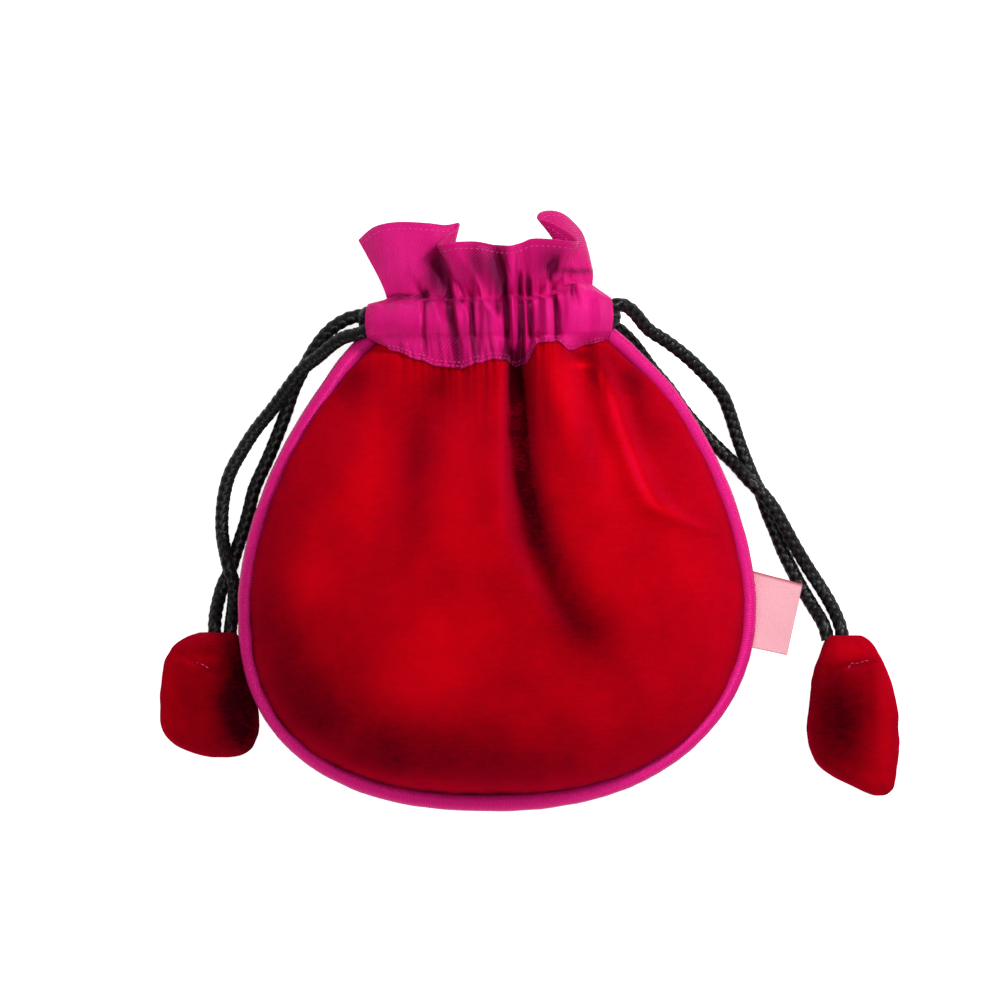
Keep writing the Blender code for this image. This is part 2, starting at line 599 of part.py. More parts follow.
def make_cord(name, run_in, run_out, first_side, lane, end):
    # One braided loop: stopper, slit, one channel, round the far slit, other channel, slit, stopper
    forward = end > 0
    route = [Vector(point) * MM for point in run_in]
    route += channel_run(first_side, lane, forward)
    route += slit_turn(end, first_side, lane)
    route += channel_run(-first_side, -lane, not forward)
    route += [Vector(point) * MM for point in run_out]
    fine = [Vector(curve_point(route, index / 2000)) for index in range(2001)]
    marks = [0.0]
    for first, second in zip(fine, fine[1:]):
        marks.append(marks[-1] + (second - first).length)
    count = round(marks[-1] / CORD_STEP)
    points, cursor = [], 0
    for index in range(count + 1):
        while cursor < len(marks) - 1 and marks[cursor] < marks[-1] * index / count:
            cursor += 1
        points.append(fine[cursor])
    curve = bpy.data.curves.new(name, "CURVE")
    curve.dimensions = "3D"
    curve.bevel_depth = CORD_DIAMETER / 2
    curve.bevel_resolution = 2
    curve.use_fill_caps = True
    spline = curve.splines.new("POLY")
    spline.points.add(len(points) - 1)
    for target, point in zip(spline.points, points):
        target.co = (*point, 1.0)
    item = bpy.data.objects.new(name, curve)
    bpy.context.scene.collection.objects.link(item)
    add_material(item, "cord")
    return item


def make_stopper(name, size, form):
    # A stuffed velvet pillow, gathered to a small flat end where the cord's two ends go in
    half = Vector((size["width"] / 2, size["length"] / 2, size["thick"] / 2))
    points, faces = [], []
    for ring in range(STOPPER_RINGS + 1):
        down, left, right, full = curve_point(form, 0.5 - 0.5 * math.cos(math.pi * ring / STOPPER_RINGS))
        for side in range(STOPPER_SIDES):
            angle = 2 * math.pi * side / STOPPER_SIDES
            across = math.copysign(abs(math.cos(angle)) ** 0.72, math.cos(angle))
            lift = math.copysign(abs(math.sin(angle)) ** 0.8, math.sin(angle)) * half.z * full
            points.append((size["top"][0] + half.x * ((left + right) / 2 + (right - left) / 2 * across),
                           size["top"][1] - size["length"] * down, max(0.0, half.z * 0.97 + lift)))
    for ring in range(STOPPER_RINGS):
        for side in range(STOPPER_SIDES):
            after = (side + 1) % STOPPER_SIDES
            start = ring * STOPPER_SIDES
            faces.append([start + side, start + after, start + STOPPER_SIDES + after, start + STOPPER_SIDES + side])
    faces.append(list(range(STOPPER_SIDES)))
    faces.append([STOPPER_RINGS * STOPPER_SIDES + side for side in range(STOPPER_SIDES)])
    return add_object(name, mesh_from(name, points, faces), "velvet")


def make_label():
    # A folded tape whose two ends are caught in the seam, under the piping
    top = RIM_HEIGHT - PIPING_DIAMETER / 2 - SEAM_GAP
    bottom = top - 2 * LABEL_LAYER - LABEL_POCKET
    middle = (top + bottom) / 2
    bend = (top - bottom) / 2
    profile = [(0.0, top), (LABEL_REACH * 0.5, top)]
    profile += [(LABEL_REACH - bend + bend * math.sin(angle), middle + bend * math.cos(angle))
                for angle in (math.radians(30 * step) for step in range(7))]
    profile += [(LABEL_REACH * 0.5, bottom), (0.0, bottom), (0.0, bottom + LABEL_LAYER)]
    profile += [(LABEL_REACH * 0.5, bottom + LABEL_LAYER), (LABEL_REACH - bend, middle - LABEL_POCKET / 2)]
    profile += [(LABEL_REACH - bend, middle + LABEL_POCKET / 2), (LABEL_REACH * 0.5, top - LABEL_LAYER)]
    profile += [(0.0, top - LABEL_LAYER)]
    root = BODY_WIDTH / 2 - PIPING_DIAMETER
    points, faces = [], []
    for along in (-0.5, -0.25, 0.0, 0.25, 0.5):
        for out, height in profile:
            x = root + out * math.cos(LABEL_TURN) - along * LABEL_WIDTH * math.sin(LABEL_TURN)
            y = LABEL_CENTRE + out * math.sin(LABEL_TURN) + along * LABEL_WIDTH * math.cos(LABEL_TURN)
            points.append((x, y, height - LABEL_DROOP * ease(out / LABEL_REACH - 0.2)))
    count = len(profile)
    for station in range(4):
        for index in range(count):
            after = (index + 1) % count
            start = station * count
            faces.append([start + index, start + after, start + count + after, start + count + index])
    faces.append(list(range(count)))
    faces.append([4 * count + index for index in range(count)])
    return add_object("side_label", mesh_from("side_label", points, faces), "label")


def build():
    for item in list(bpy.data.objects):
        bpy.data.objects.remove(item, do_unlink=True)
    front_grids = make_front_panel()
    back_grids = make_back_panel()
    make_lining()
    make_piping()
    make_band("front_neck_band", 1, FRONT_EDGE, FRONT_CRESTS, front_grids)
    make_band("back_neck_band", -1, BACK_EDGE, BACK_CRESTS, back_grids)
    make_cord("left_drawcord", LEFT_RUN_IN, LEFT_RUN_OUT, -1, 1, 1)
    make_cord("right_drawcord", RIGHT_RUN_IN, RIGHT_RUN_OUT, -1, -1, -1)
    make_stopper("left_cord_stopper", LEFT_STOPPER, LEFT_FORM)
    make_stopper("right_cord_stopper", RIGHT_STOPPER, RIGHT_FORM)
    make_label()


build()
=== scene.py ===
import math
import functools

import bpy
import bmesh
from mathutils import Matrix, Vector, noise


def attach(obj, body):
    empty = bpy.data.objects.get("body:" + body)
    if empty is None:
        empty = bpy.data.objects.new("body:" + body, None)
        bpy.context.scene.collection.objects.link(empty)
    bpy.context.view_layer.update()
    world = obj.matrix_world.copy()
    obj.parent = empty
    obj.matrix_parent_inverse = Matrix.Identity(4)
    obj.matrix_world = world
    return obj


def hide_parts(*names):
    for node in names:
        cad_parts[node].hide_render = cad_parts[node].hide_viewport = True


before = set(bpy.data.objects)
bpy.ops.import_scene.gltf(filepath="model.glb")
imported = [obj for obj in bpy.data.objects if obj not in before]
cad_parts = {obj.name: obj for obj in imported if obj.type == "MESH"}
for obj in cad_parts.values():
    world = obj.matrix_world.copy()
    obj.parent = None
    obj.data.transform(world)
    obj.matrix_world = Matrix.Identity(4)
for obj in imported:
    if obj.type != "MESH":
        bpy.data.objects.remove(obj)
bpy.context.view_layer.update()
scene = bpy.context.scene

mm = 0.001
white = (1.0, 1.0, 1.0, 1.0)


def ease(value):
    value = min(1.0, max(0.0, value))
    return value * value * (3.0 - 2.0 * value)


def mix(first, second, share):
    return first + (second - first) * share


def bell(offset, width):
    return math.exp(-(offset / width) ** 2)


def ripple(x, y, z):
    # Smooth noise at a place, from -1 to 1
    return noise.noise(Vector((x, y, z)))


def signedPower(value, power):
    return math.copysign(abs(value) ** power, value)


def lengthMarks(points):
    # Length along a line of points at each of them
    marks = [0.0]
    for first, second in zip(points, points[1:]):
        marks.append(marks[-1] + (second - first).length)
    return marks


def curvePoint(points, place):
    # Catmull-Rom curve through the points; place runs from 0 to 1
    span = min(max(place, 0.0), 1.0) * (len(points) - 1)
    index = min(int(span), len(points) - 2)
    part = span - index
    before, start, end, after = (points[min(max(index + step, 0), len(points) - 1)] for step in (-1, 0, 1, 2))
    return [0.5 * (2 * b + (c - a) * part + (2 * a - 5 * b + 4 * c - d) * part ** 2
                   + (3 * b - a - 3 * c + d) * part ** 3)
            for a, b, c, d in zip(before, start, end, after)]


def tableValue(table, place):
    # Smooth value of a short list of (place, value) pairs, lowest place first
    if place <= table[0][0]:
        return table[0][1]
    for (low, first), (high, second) in zip(table, table[1:]):
        if place <= high:
            return mix(first, second, ease((place - low) / (high - low)))
    return table[-1][1]


def straightValue(table, place):
    # Value on the straight lines between (place, value) pairs, lowest place first
    if place <= table[0][0]:
        return table[0][1]
    for (low, first), (high, second) in zip(table, table[1:]):
        if place <= high:
            return mix(first, second, (place - low) / (high - low))
    return table[-1][1]


def tone(red, green, blue):
    # Linear colour of an sRGB one that is written from 0 to 255
    values = []
    for value in (red / 255, green / 255, blue / 255):
        values.append(value / 12.92 if value <= 0.04045 else ((value + 0.055) / 1.055) ** 2.4)
    return (*values, 1.0)


# Meshes

def finishMesh(name, mesh, material):
    form = bmesh.new()
    form.from_mesh(mesh)
    bmesh.ops.recalc_face_normals(form, faces=form.faces)
    form.to_mesh(mesh)
    form.free()
    mesh.shade_smooth()
    item = bpy.data.objects.new(name, mesh)
    scene.collection.objects.link(item)
    mesh.materials.append(material)
    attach(item, "root")
    return item


def gridObject(name, rows, material, around=False, capped=False, shade=None):
    # Mesh of a grid of points, with UVs that follow the cloth in millimetres
    columns = len(rows[0])
    points = [point for row in rows for point in row]
    faces, corners = [], []
    along = [0.0]
    for first, second in zip(rows, rows[1:]):
        steps = [(b - a).length for a, b in zip(first[::7], second[::7])]
        along.append(along[-1] + sum(steps) / len(steps) / mm)
    middle = rows[len(rows) // 2]
    across = [0.0]
    for first, second in zip(middle, middle[1:] + middle[:1]):
        across.append(across[-1] + (second - first).length / mm)
    span = columns if around else columns - 1
    for row in range(len(rows) - 1):
        for column in range(span):
            after = (column + 1) % columns
            start = row * columns
            faces.append((start + column, start + after, start + columns + after, start + columns + column))
            corners += [(across[column], along[row]), (across[column + 1], along[row]),
                        (across[column + 1], along[row + 1]), (across[column], along[row + 1])]
    if capped:
        for row in (0, len(rows) - 1):
            faces.append(tuple(row * columns + column for column in range(columns)))
            corners += [(across[column], along[row]) for column in range(columns)]
    mesh = bpy.data.meshes.new(name)
    mesh.from_pydata([tuple(point) for point in points], [], faces)
    layer = mesh.uv_layers.new(name="cloth")
    layer.data.foreach_set("uv", [value for corner in corners for value in corner])
    if shade:
        painted = mesh.attributes.new("shade", "FLOAT", "POINT")
        painted.data.foreach_set("value", [value for row in shade for value in row])
    return finishMesh(name, mesh, material)


# Camera, straight above the pouch with a long lens
cameraSetup = {"centre": (0.0008, 0.0278), "height": 1.25, "viewWidth": 0.265, "sensor": 36.0, "focusPlane": 0.02}


def makeCamera():
    data = bpy.data.cameras.new("camera")
    camera = bpy.data.objects.new("camera", data)
    scene.collection.objects.link(camera)
    data.sensor_width = cameraSetup["sensor"]
    data.lens = cameraSetup["sensor"] * cameraSetup["height"] / cameraSetup["viewWidth"]
    data.clip_start = 0.05
    data.clip_end = 20.0
    camera.location = (*cameraSetup["centre"], cameraSetup["height"] + cameraSetup["focusPlane"])
    camera.rotation_euler = (0.0, 0.0, 0.0)
    scene.camera = camera


# Light, floor and backdrop
lightSetup = {
    "world": 0.13,
    "key": {"place": (0.36, 0.40, 0.50), "aim": (0.0, 0.03, 0.02), "size": 0.14, "power": 3.4},
    "top": {"place": (0.02, 0.10, 0.95), "aim": (0.0, 0.02, 0.0), "size": 0.6, "power": 3.0},
    "rim": {"place": (-0.48, 0.34, 0.20), "aim": (0.0, 0.04, 0.02), "size": 0.2, "power": 0.25},
    "front": {"place": (-0.10, -0.60, 0.34), "aim": (0.0, -0.04, 0.01), "size": 0.25, "power": 1.3},
}


def makeLights():
    for name in ("key", "top", "rim", "front"):
        setup = lightSetup[name]
        data = bpy.data.lights.new(name + "Light", "AREA")
        data.shape = "DISK"
        data.size = setup["size"]
        data.energy = setup["power"]
        lamp = bpy.data.objects.new(name + "Light", data)
        lamp.location = setup["place"]
        lamp.rotation_mode = "QUATERNION"
        lamp.rotation_quaternion = (Vector(setup["aim"]) - Vector(setup["place"])).to_track_quat("-Z", "Y")
        scene.collection.objects.link(lamp)


def makeWorld():
    world = bpy.data.worlds.new("studio")
    scene.world = world
    world.use_nodes = True
    tree = world.node_tree
    light = tree.nodes["Background"]
    setSockets(tree, light, {"Color": white, "Strength": lightSetup["world"]})
    seen = addNode(tree, "Background", {"Color": white, "Strength": 1.0})
    showToCamera(tree, tree.nodes["World Output"], light, seen)
    scene.view_settings.view_transform = "Standard"
    scene.view_settings.look = "None"


def showToCamera(tree, output, plain, seen):
    path = addNode(tree, "LightPath", {})
    blend = addNode(tree, "MixShader", {"Fac": path.outputs["Is Camera Ray"], 1: plain.outputs[0], 2: seen.outputs[0]})
    setSockets(tree, output, {"Surface": blend.outputs[0]})


floorSetup = {"reach": 4.0, "level": -0.0002, "grey": 0.93, "glow": 0.80}


def makeFloor():
    mesh = bpy.data.meshes.new("floor")
    reach, level, grey = floorSetup["reach"], floorSetup["level"], floorSetup["grey"]
    mesh.from_pydata([(-reach, -reach, level), (reach, -reach, level), (reach, reach, level), (-reach, reach, level)],
                     [], [(0, 1, 2, 3)])
    item = bpy.data.objects.new("floor", mesh)
    scene.collection.objects.link(item)
    material, tree, shader = newMaterial("floor", 0.9, 0.0, tints={"Base Color": (grey, grey, grey, 1.0)})
    glow = addNode(tree, "Emission", {"Strength": floorSetup["glow"]})
    total = addNode(tree, "AddShader", {0: shader.outputs["BSDF"], 1: glow.outputs["Emission"]})
    showToCamera(tree, tree.nodes["Material Output"], shader, total)
    mesh.materials.append(material)


# Body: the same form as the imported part, in metres
body = {"width": 0.1378, "drop": 0.0549, "rise": 0.0897, "dropPower": 2.3, "risePower": 1.7,
        "footShift": -0.0022, "lean": -0.0012, "rim": 0.017, "front": 0.027, "back": 0.0205,
        "overhang": 0.0020, "overhangSide": 1.4, "inset": 0.0044, "tape": 0.0002,
        "neckHeight": 0.0135, "neckShift": -0.002, "neckWidth": 0.0343, "neckDepth": 0.008, "neckPower": 2.6,
        "neckCrown": 0.0096, "slit": 0.009, "seamEnd": 0.0694, "channel": 0.0763, "channelSlope": 0.02}
pipingSize = {"radius": 0.0023, "tuck": 0.0012, "ends": 12, "runOn": (0.0050, 0.0042), "length": 420,
              "rib": 0.000045, "ribPitch": 0.95}
seamWave = [(-1.0, 0.2), (-0.83, -2.1), (-0.62, -4.4), (-0.47, -6.0), (-0.27, -6.6), (-0.11, -5.2),
            (0.01, -4.2), (0.12, -4.6), (0.20, -6.2), (0.27, -5.6), (0.40, 0.2), (0.56, 0.4),
            (0.66, -1.8), (0.82, -0.2), (1.0, 0.8)]


def outline(angle, inset):
    cosine, sine = math.cos(angle), math.sin(angle)
    half = body["width"] / 2
    height, power = (body["rise"], body["risePower"]) if sine > 0 else (body["drop"], body["dropPower"])
    x, y = signedPower(cosine, 2 / power), signedPower(sine, 2 / power)
    normal = Vector((signedPower(x, power - 1) / half, signedPower(y, power - 1) / height)).normalized()
    return Vector((x * half, y * height)) - normal * inset, normal, y * height


@functools.lru_cache
def endAngle(inset, top):
    low, high = 0.0, math.pi / 2
    for _ in range(40):
        middle = (low + high) / 2
        if outline(middle, inset)[0].y < top:
            low = middle
        else:
            high = middle
    return low


def sway(level):
    return body["footShift"] * ease(-level / body["drop"]) + body["lean"] * ease(5 * level / body["seamEnd"] - 4)


def rimHeight(level):
    return mix(body["rim"], body["neckHeight"], ease(level / body["seamEnd"]))


def planPoint(across, up, inset, top, waved):
    if up >= 0:
        edge, normal, level = outline(up * endAngle(inset, top), inset)
        wave = tableValue(seamWave, across) * mm * ease(up) * up if waved else 0.0
        normal.x *= math.copysign(1, across)
        return Vector((across * edge.x + sway(level), edge.y + wave)), abs(across), normal, level
    flat = across * math.sqrt(1 - up * up / 2)
    fall = up * math.sqrt(1 - across * across / 2)
    reach = math.hypot(flat, fall)
    edge, normal, level = outline(math.atan2(fall, flat), inset)
    return edge * reach + Vector((sway(level) * reach, 0.0)), reach, normal, level


def arch(reach, up, rise):
    power = mix(body["neckPower"], 2.0, rise)
    return max(0.0, 1 - reach ** power) ** (1 / power if up >= 0 else 0.5)


# Folds of the front panel, in millimetres: the path of each down from the neck, its height at places
# along the path, and how wide it is on its left and right at its two ends
frontFolds = [
    {"path": [(4.2, 70), (4.0, 60), (3.9, 48), (4.6, 33), (9.2, 12), (16.5, 0), (26, -12)],
     "height": [(0.0, -5.6), (0.12, -7.6), (0.35, -8.0), (0.6, -5.6), (0.8, -3.6), (1.0, 0.0)],
     "left": (0.7, 5.0), "right": (3.8, 10.0)},
    {"path": [(0.4, 68), (0.8, 60), (0.6, 48), (-0.2, 36), (-1.0, 22), (-2.0, 8)],
     "height": [(0.0, 1.4), (0.4, 2.8), (0.7, 1.8), (1.0, 0.0)], "left": (5.0, 7.0), "right": (1.7, 5.0)},
    {"path": [(13.0, 74), (14.2, 66), (16.7, 54), (20.0, 44), (23.3, 34), (27, 20)],
     "height": [(0.0, 3.0), (0.3, 4.2), (0.6, 3.0), (1.0, 0.0)], "left": (4.4, 8.0), "right": (3.6, 9.0)},
    {"path": [(24.4, 72), (22.8, 62), (24.0, 54), (27.5, 42), (33, 28), (36, 18)],
     "height": [(0.0, -3.4), (0.3, -3.2), (0.6, -2.6), (1.0, 0.0)], "left": (3.0, 6.0), "right": (2.4, 6.0)},
    {"path": [(26.5, 68), (28.0, 61), (30.5, 54.3), (33.9, 43.7), (37.9, 33.1), (41.9, 26.5), (48.5, 21.2),
              (56, 18.0)],
     "height": [(0.0, 0.5), (0.15, 2.8), (0.5, 3.4), (0.8, 2.6), (1.0, 0.4)],
     "left": (3.4, 6.0), "right": (1.8, 3.0)},
    {"path": [(-4.4, 66), (-2.4, 52), (-2.0, 40), (-2.2, 24), (-4.0, 6)],
     "height": [(0.0, 0.6), (0.4, 1.6), (0.7, 1.2), (1.0, 0.0)], "left": (5.0, 9.0), "right": (3.0, 8.0)},
    {"path": [(-12.5, 64), (-15.0, 56), (-18.5, 48), (-22.6, 40), (-27, 30), (-30, 16)],
     "height": [(0.0, -2.6), (0.4, -3.6), (0.7, -2.4), (1.0, 0.0)], "left": (4.0, 9.0), "right": (4.0, 8.0)},
    {"path": [(-23.5, 66), (-27.0, 58), (-33.0, 45), (-40, 30), (-49, 12)],
     "height": [(0.0, 0.8), (0.4, 1.8), (0.7, 1.6), (1.0, 0.0)], "left": (4.0, 8.0), "right": (5.0, 9.0)},
    {"path": [(-36.0, 62), (-41.5, 55), (-45.5, 48), (-50, 38)],
     "height": [(0.0, -0.6), (0.4, -1.5), (0.7, -1.2), (1.0, 0.0)], "left": (2.6, 5.0), "right": (3.0, 6.0)},
]

# Low mounds and hollows of the filled belly: place, reach in x and y, height, in millimetres
bellyForms = [
    (-20, -16, 17, 12, 0.9), (30, -6, 14, 16, 1.0), (2, -26, 20, 9, -0.9), (-36, 6, 9, 18, -0.8),
    (-50, -6, 6, 12, -0.7), (46, 4, 8, 10, 0.8), (40, -26, 12, 8, -0.6), (-8, 8, 16, 12, 0.6), (14, 26, 8, 9, -0.8),
]

# Small puckers where the velvet is sewn to the piping: place on the seam in degrees (0 at the right,
# 90 towards the neck), width in degrees and depth in millimetres
rimPuckers = [(174, 2.0, 0.9), (181, 1.5, 0.5), (187, 2.4, 1.0), (196, 1.6, 0.6), (203, 2.2, 0.8), (214, 2.0, 0.9),
              (222, 1.4, 0.5), (231, 2.4, 0.9), (243, 1.8, 0.5), (251, 2.2, 0.7), (262, 2.0, 0.4), (274, 2.4, 0.6),
              (287, 2.0, 0.5), (301, 2.6, 0.6), (316, 2.0, 0.7), (329, 2.2, 0.5), (343, 2.4, 0.6), (357, 2.0, 0.5),
              (12, 2.2, 0.6), (28, 2.0, 0.5), (40, 2.6, 0.8), (52, 2.0, 0.6), (126, 2.2, 0.7), (139, 2.0, 0.6),
              (151, 2.6, 0.9), (162, 2.0, 0.6)]


# Crushed and brushed pile and painted shade and light on the front: darker at the bottom, the lower left and
# in fold valleys, lighter on lit slopes; place, reach in x and y, darker below 0, in millimetres
frontNapAndShade = [
    (-58, -8, 9, 16, -0.34), (-48, -26, 13, 12, -0.40), (-28, -38, 18, 9, -0.40), (2, -42, 22, 8, -0.34),
    (38, -36, 16, 9, -0.14), (-50, 6, 7, 9, 0.22), (-37, 28, 7, 16, 0.22), (-9, 34, 6, 20, 0.22),
    (-21, 42, 4.5, 18, -0.28), (-39, 56, 6, 5, -0.26), (-17, -12, 12, 14, 0.24), (18, 50, 4, 16, 0.18),
    (31, 22, 12, 18, 0.14), (53, 10, 10, 20, 0.12), (42, 46, 3.5, 5, -0.16), (-2, -30, 14, 8, -0.08),
    (27, 62, 4, 5, -0.2), (20, 60, 3, 9, 0.25), (38, 52, 2.4, 8, -0.2), (21.6, 66.4, 3.5, 1.6, -0.35),
    (22.7, 63.4, 3.2, 0.7, 0.45), (27.4, 60.6, 0.8, 2.4, 0.4), (35.5, 60, 3.6, 4.5, -0.30),
    (-38, 61, 4.5, 3.5, -0.26), (-16, 59, 3, 6, -0.2), (1.4, 50, 0.8, 22, 0.30), (-33, 47, 3, 14, 0.14),
    (-6, 62, 3, 6, -0.12), (-14, 62, 3, 7, -0.14), (-30, 66, 6, 3, 0.12), (14, 58, 2.4, 8, 0.26),
    (30, 38, 3, 8, 0.18), (-56, 24, 6, 14, -0.10),
]


# Lines of painted light along the front's folds: a painted highlight on the lit ridge of one fold and painted shade
# down the deep valley
frontFoldLightAndShade = [
    {"path": [(28.5, 61), (30.3, 54.3), (33.6, 43.7), (37.4, 33.1), (41.4, 26.5), (48.5, 22.4)],
     "height": [(0.0, 0.1), (0.2, 0.45), (0.6, 0.5), (0.85, 0.35), (1.0, 0.0)],
     "left": (1.6, 3.0), "right": (0.9, 1.6)},
    {"path": [(4.4, 69), (5.2, 56), (6.2, 42), (8.2, 28), (12.0, 14), (18.0, 1), (25.0, -10), (31.0, -19)],
     "height": [(0.0, -0.9), (0.35, -0.72), (0.6, -0.5), (0.8, -0.42), (1.0, 0.0)],
     "left": (1.5, 9.0), "right": (2.0, 9.0)},
]


# Shade of the pile: its usual level on each piece, painted shade along the front's rim by the piping, and slow and
# fine changes
napSetup = {"front": 0.57, "back": 0.5, "stopper": 0.5, "rim": 0.42, "rimShadeStart": 0.95, "slow": 0.09, "fine": 0.05}


def napAndPaintedLight(points, forms, level, seed, lines=(), reaches=None):
    # Shade value of the pile at each point: its level, slow and fine random changes, painted shade along the rim, and
    # the given forms and lines, which paint light and shade
    values = []
    for index, point in enumerate(points):
        x, y = point.x / mm, point.y / mm
        value = level
        if reaches:
            # painted shade on the front next to the piping
            value -= napSetup["rim"] * ease((reaches[index] - napSetup["rimShadeStart"]) / (1 - napSetup["rimShadeStart"]))
        value += napSetup["slow"] * ripple(x / 11, y / 14, seed)
        value += napSetup["fine"] * ripple(x / 2.5, y / 1.2, seed + 5)
        value += moundLift(forms, x, y)
        value += sum(foldForm(line, x, y) for line in lines if y < line["path"][0][1])
        values.append(min(1.4, max(0.0, value)))
    return values


def foldPlace(fold, y):
    # How far along a fold's path a height lies, and where the path is there
    path = fold["path"]
    if y >= path[0][1]:
        return 0.0, path[0][0]
    for index, ((_, y0), (_, y1)) in enumerate(zip(path, path[1:])):
        if y >= y1:
            share = (y0 - y) / (y0 - y1)
            place = (index + share) / (len(path) - 1)
            return place, curvePoint(path, place)[0]
    return None


def foldForm(fold, x, y):
    # What one fold adds at a place in millimetres
    found = foldPlace(fold, y)
    if found is None:
        return 0.0
    place, middle = found
    width = mix(*(fold["left"] if x < middle else fold["right"]), place)
    return straightValue(fold["height"], place) * bell(x - middle, width)


def moundLift(forms, x, y):
    return sum(height * math.exp(-((x - cx) / rx) ** 2 - ((y - cy) / ry) ** 2) for cx, cy, rx, ry, height in forms)


def foldLift(x, y, reach):
    # Height that the folds, mounds and small waves add at a place in millimetres
    total = sum(foldForm(fold, x, y) for fold in frontFolds) + moundLift(bellyForms, x, y)
    total += 0.55 * ripple(x / 16, y / 20, 3.1) * (1 - reach ** 6)
    total += 0.16 * ripple(x / 5.0, y / 6.5, 7.7)
    return total


def gatherLift(x, below):
    # Fine gathers just below the neck's seam
    density = 0.35 + 0.65 * bell(x - 3, 17)
    wave = ripple(x / 1.9, below / 26, 11.3) + 0.6 * ripple(x / 0.95, below / 18, 4.4)
    return 1.5 * density * wave * math.exp(-max(below, 0.0) / 9.0)


def puckerLift(angle, reach):
    total = 0.0
    degrees = math.degrees(angle) % 360
    for middle, width, depth in rimPuckers:
        away = (degrees - middle + 180) % 360 - 180
        total -= depth * bell(away, width)
    return total * bell(1 - reach, 0.055) * ease((1 - reach) / 0.012)


def bellyRise(up, power=1.25):
    # From 0 at the neck to 1 at the belly
    return 0.5 * (1 + math.cos(math.pi * max(up, 0.0) ** power))


def frontPoint(across, up, inset):
    spot, reach, normal, level = planPoint(across, up, inset, body["seamEnd"], True)
    rise = bellyRise(up)
    lift = mix(body["neckCrown"], body["front"], rise) * arch(reach, up, rise)
    x, y = spot.x / mm, spot.y / mm
    angle = math.atan2(spot.y, spot.x)
    below = (1 - up) * body["seamEnd"] / mm
    extra = foldLift(x, y, reach) * (1 - reach ** 8)
    if up > 0.3:
        extra += gatherLift(x, below) * (1 - reach ** 12)
    extra += puckerLift(angle, reach) * (1 - ease((up - 0.82) / 0.1))
    lift = max(0.0, lift + extra * mm)
    side = min(1.0, body["overhangSide"] * abs(normal.x)) * (1 - ease((up - 0.75) / 0.25))
    spot = spot + normal * body["overhang"] * side * ease((lift - 0.001) / 0.004) * ease((reach - 0.5) / 0.5)
    return Vector((spot.x, spot.y, rimHeight(level) + body["tape"] + lift))


def backPoint(across, up, inset, sink=0.0, top=None, waved=True):
    spot, reach, _, level = planPoint(across, up, inset, top or body["seamEnd"], waved)
    rise = bellyRise(up)
    fall = (mix(body["neckCrown"], body["back"], rise) - sink) * arch(reach, up, rise)
    x, y = spot.x / mm, spot.y / mm
    angle = math.atan2(spot.y, -spot.x)
    wave = 0.5 * ripple(x / 15, y / 18, 23.1) + 0.9 * gatherLift(-x + 5, (1 - up) * 60) * ease(up)
    fall = max(0.0, fall + (wave + puckerLift(angle, reach)) * mm * (1 - reach ** 8))
    height = rimHeight(level) - body["tape"] - fall
    return Vector((spot.x, spot.y, max(height, sink + 0.0003 * mm)))


def gridPlaces(columns, rows):
    ups = [-math.sin(math.pi / 2 * (1 - index / rows[0])) ** 0.9 for index in range(rows[0])]
    ups += [index / rows[1] for index in range(rows[1] + 1)]
    sides = [2 * index / columns - 1 for index in range(columns + 1)]
    return [0.3 * side + 0.7 * math.sin(math.pi / 2 * side) for side in sides], ups


# How far the neck end of a panel runs on and goes in, below the satin
neckRunOn, neckSink = 1.6 * mm, 1.3 * mm


def panelRows(maker, columns, rows):
    # A panel's outer face, with its neck end run on below the satin
    sides, ups = gridPlaces(columns, rows)
    grid = [[maker(side, up, body["inset"]) for side in sides] for up in ups]
    sink = -neckSink if maker is frontPoint else neckSink
    grid.append([point + Vector((0.0, neckRunOn, sink)) for point in grid[-1]])
    return grid


frontDensity = ((270, (100, 170)))
backDensity = ((120, (44, 70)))


def makePanels(velvet):
    frontGrid = panelRows(frontPoint, *frontDensity)
    backGrid = panelRows(backPoint, *backDensity)
    sides, ups = gridPlaces(*frontDensity)
    reaches = [[planPoint(side, up, body["inset"], body["seamEnd"], True)[1] for side in sides]
               for up in ups + ups[-1:]]
    frontShade = [napAndPaintedLight(row, frontNapAndShade, napSetup["front"], 2.0, frontFoldLightAndShade, reach)
                  for row, reach in zip(frontGrid, reaches)]
    front = gridObject("velvetFront", frontGrid, velvet, shade=frontShade)
    backShade = [napAndPaintedLight(row, [], napSetup["back"], 9.0) for row in backGrid]
    back = gridObject("velvetBack", backGrid, velvet, shade=backShade)
    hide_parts("front_panel")
    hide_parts("back_panel")
    return front, back


# Piping, covered on the bias so that small ribs cross it
def makePiping(satin):
    radius = pipingSize["radius"]
    limit = endAngle(radius, body["seamEnd"] - pipingSize["tuck"])
    stations = 1100
    sides = 20
    rows = []
    for station in range(-pipingSize["ends"], stations + pipingSize["ends"] + 1):
        held = min(max(station, 0), stations)
        angle = limit - (math.pi + 2 * limit) * held / stations
        spot, normal, level = outline(angle, radius)
        spot.x += sway(level)
        over = abs(station - held) / pipingSize["ends"]
        if over:
            spot += Vector((-math.copysign(pipingSize["runOn"][0], spot.x), pipingSize["runOn"][1])) * over
        long = station / stations * pipingSize["length"]
        swell = 1 + 0.05 * ripple(long / 6, 0.3, 8.0)
        swell += 0.02 * ripple(long / 1.3, 2.3, 1.0)
        row = []
        for side in range(sides):
            turn = 2 * math.pi * side / sides
            rib = pipingSize["rib"] * math.sin(2 * math.pi * (long / pipingSize["ribPitch"] + 0.35 * math.sin(turn)))
            out = (radius * swell + rib) * math.cos(turn)
            lift = (radius * swell + rib) * math.sin(turn)
            row.append(Vector((spot.x + normal.x * out, spot.y + normal.y * out, rimHeight(level) + lift)))
        rows.append(row)
    item = gridObject("satinPiping", rows, satin, around=True, capped=True)
    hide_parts("piping")


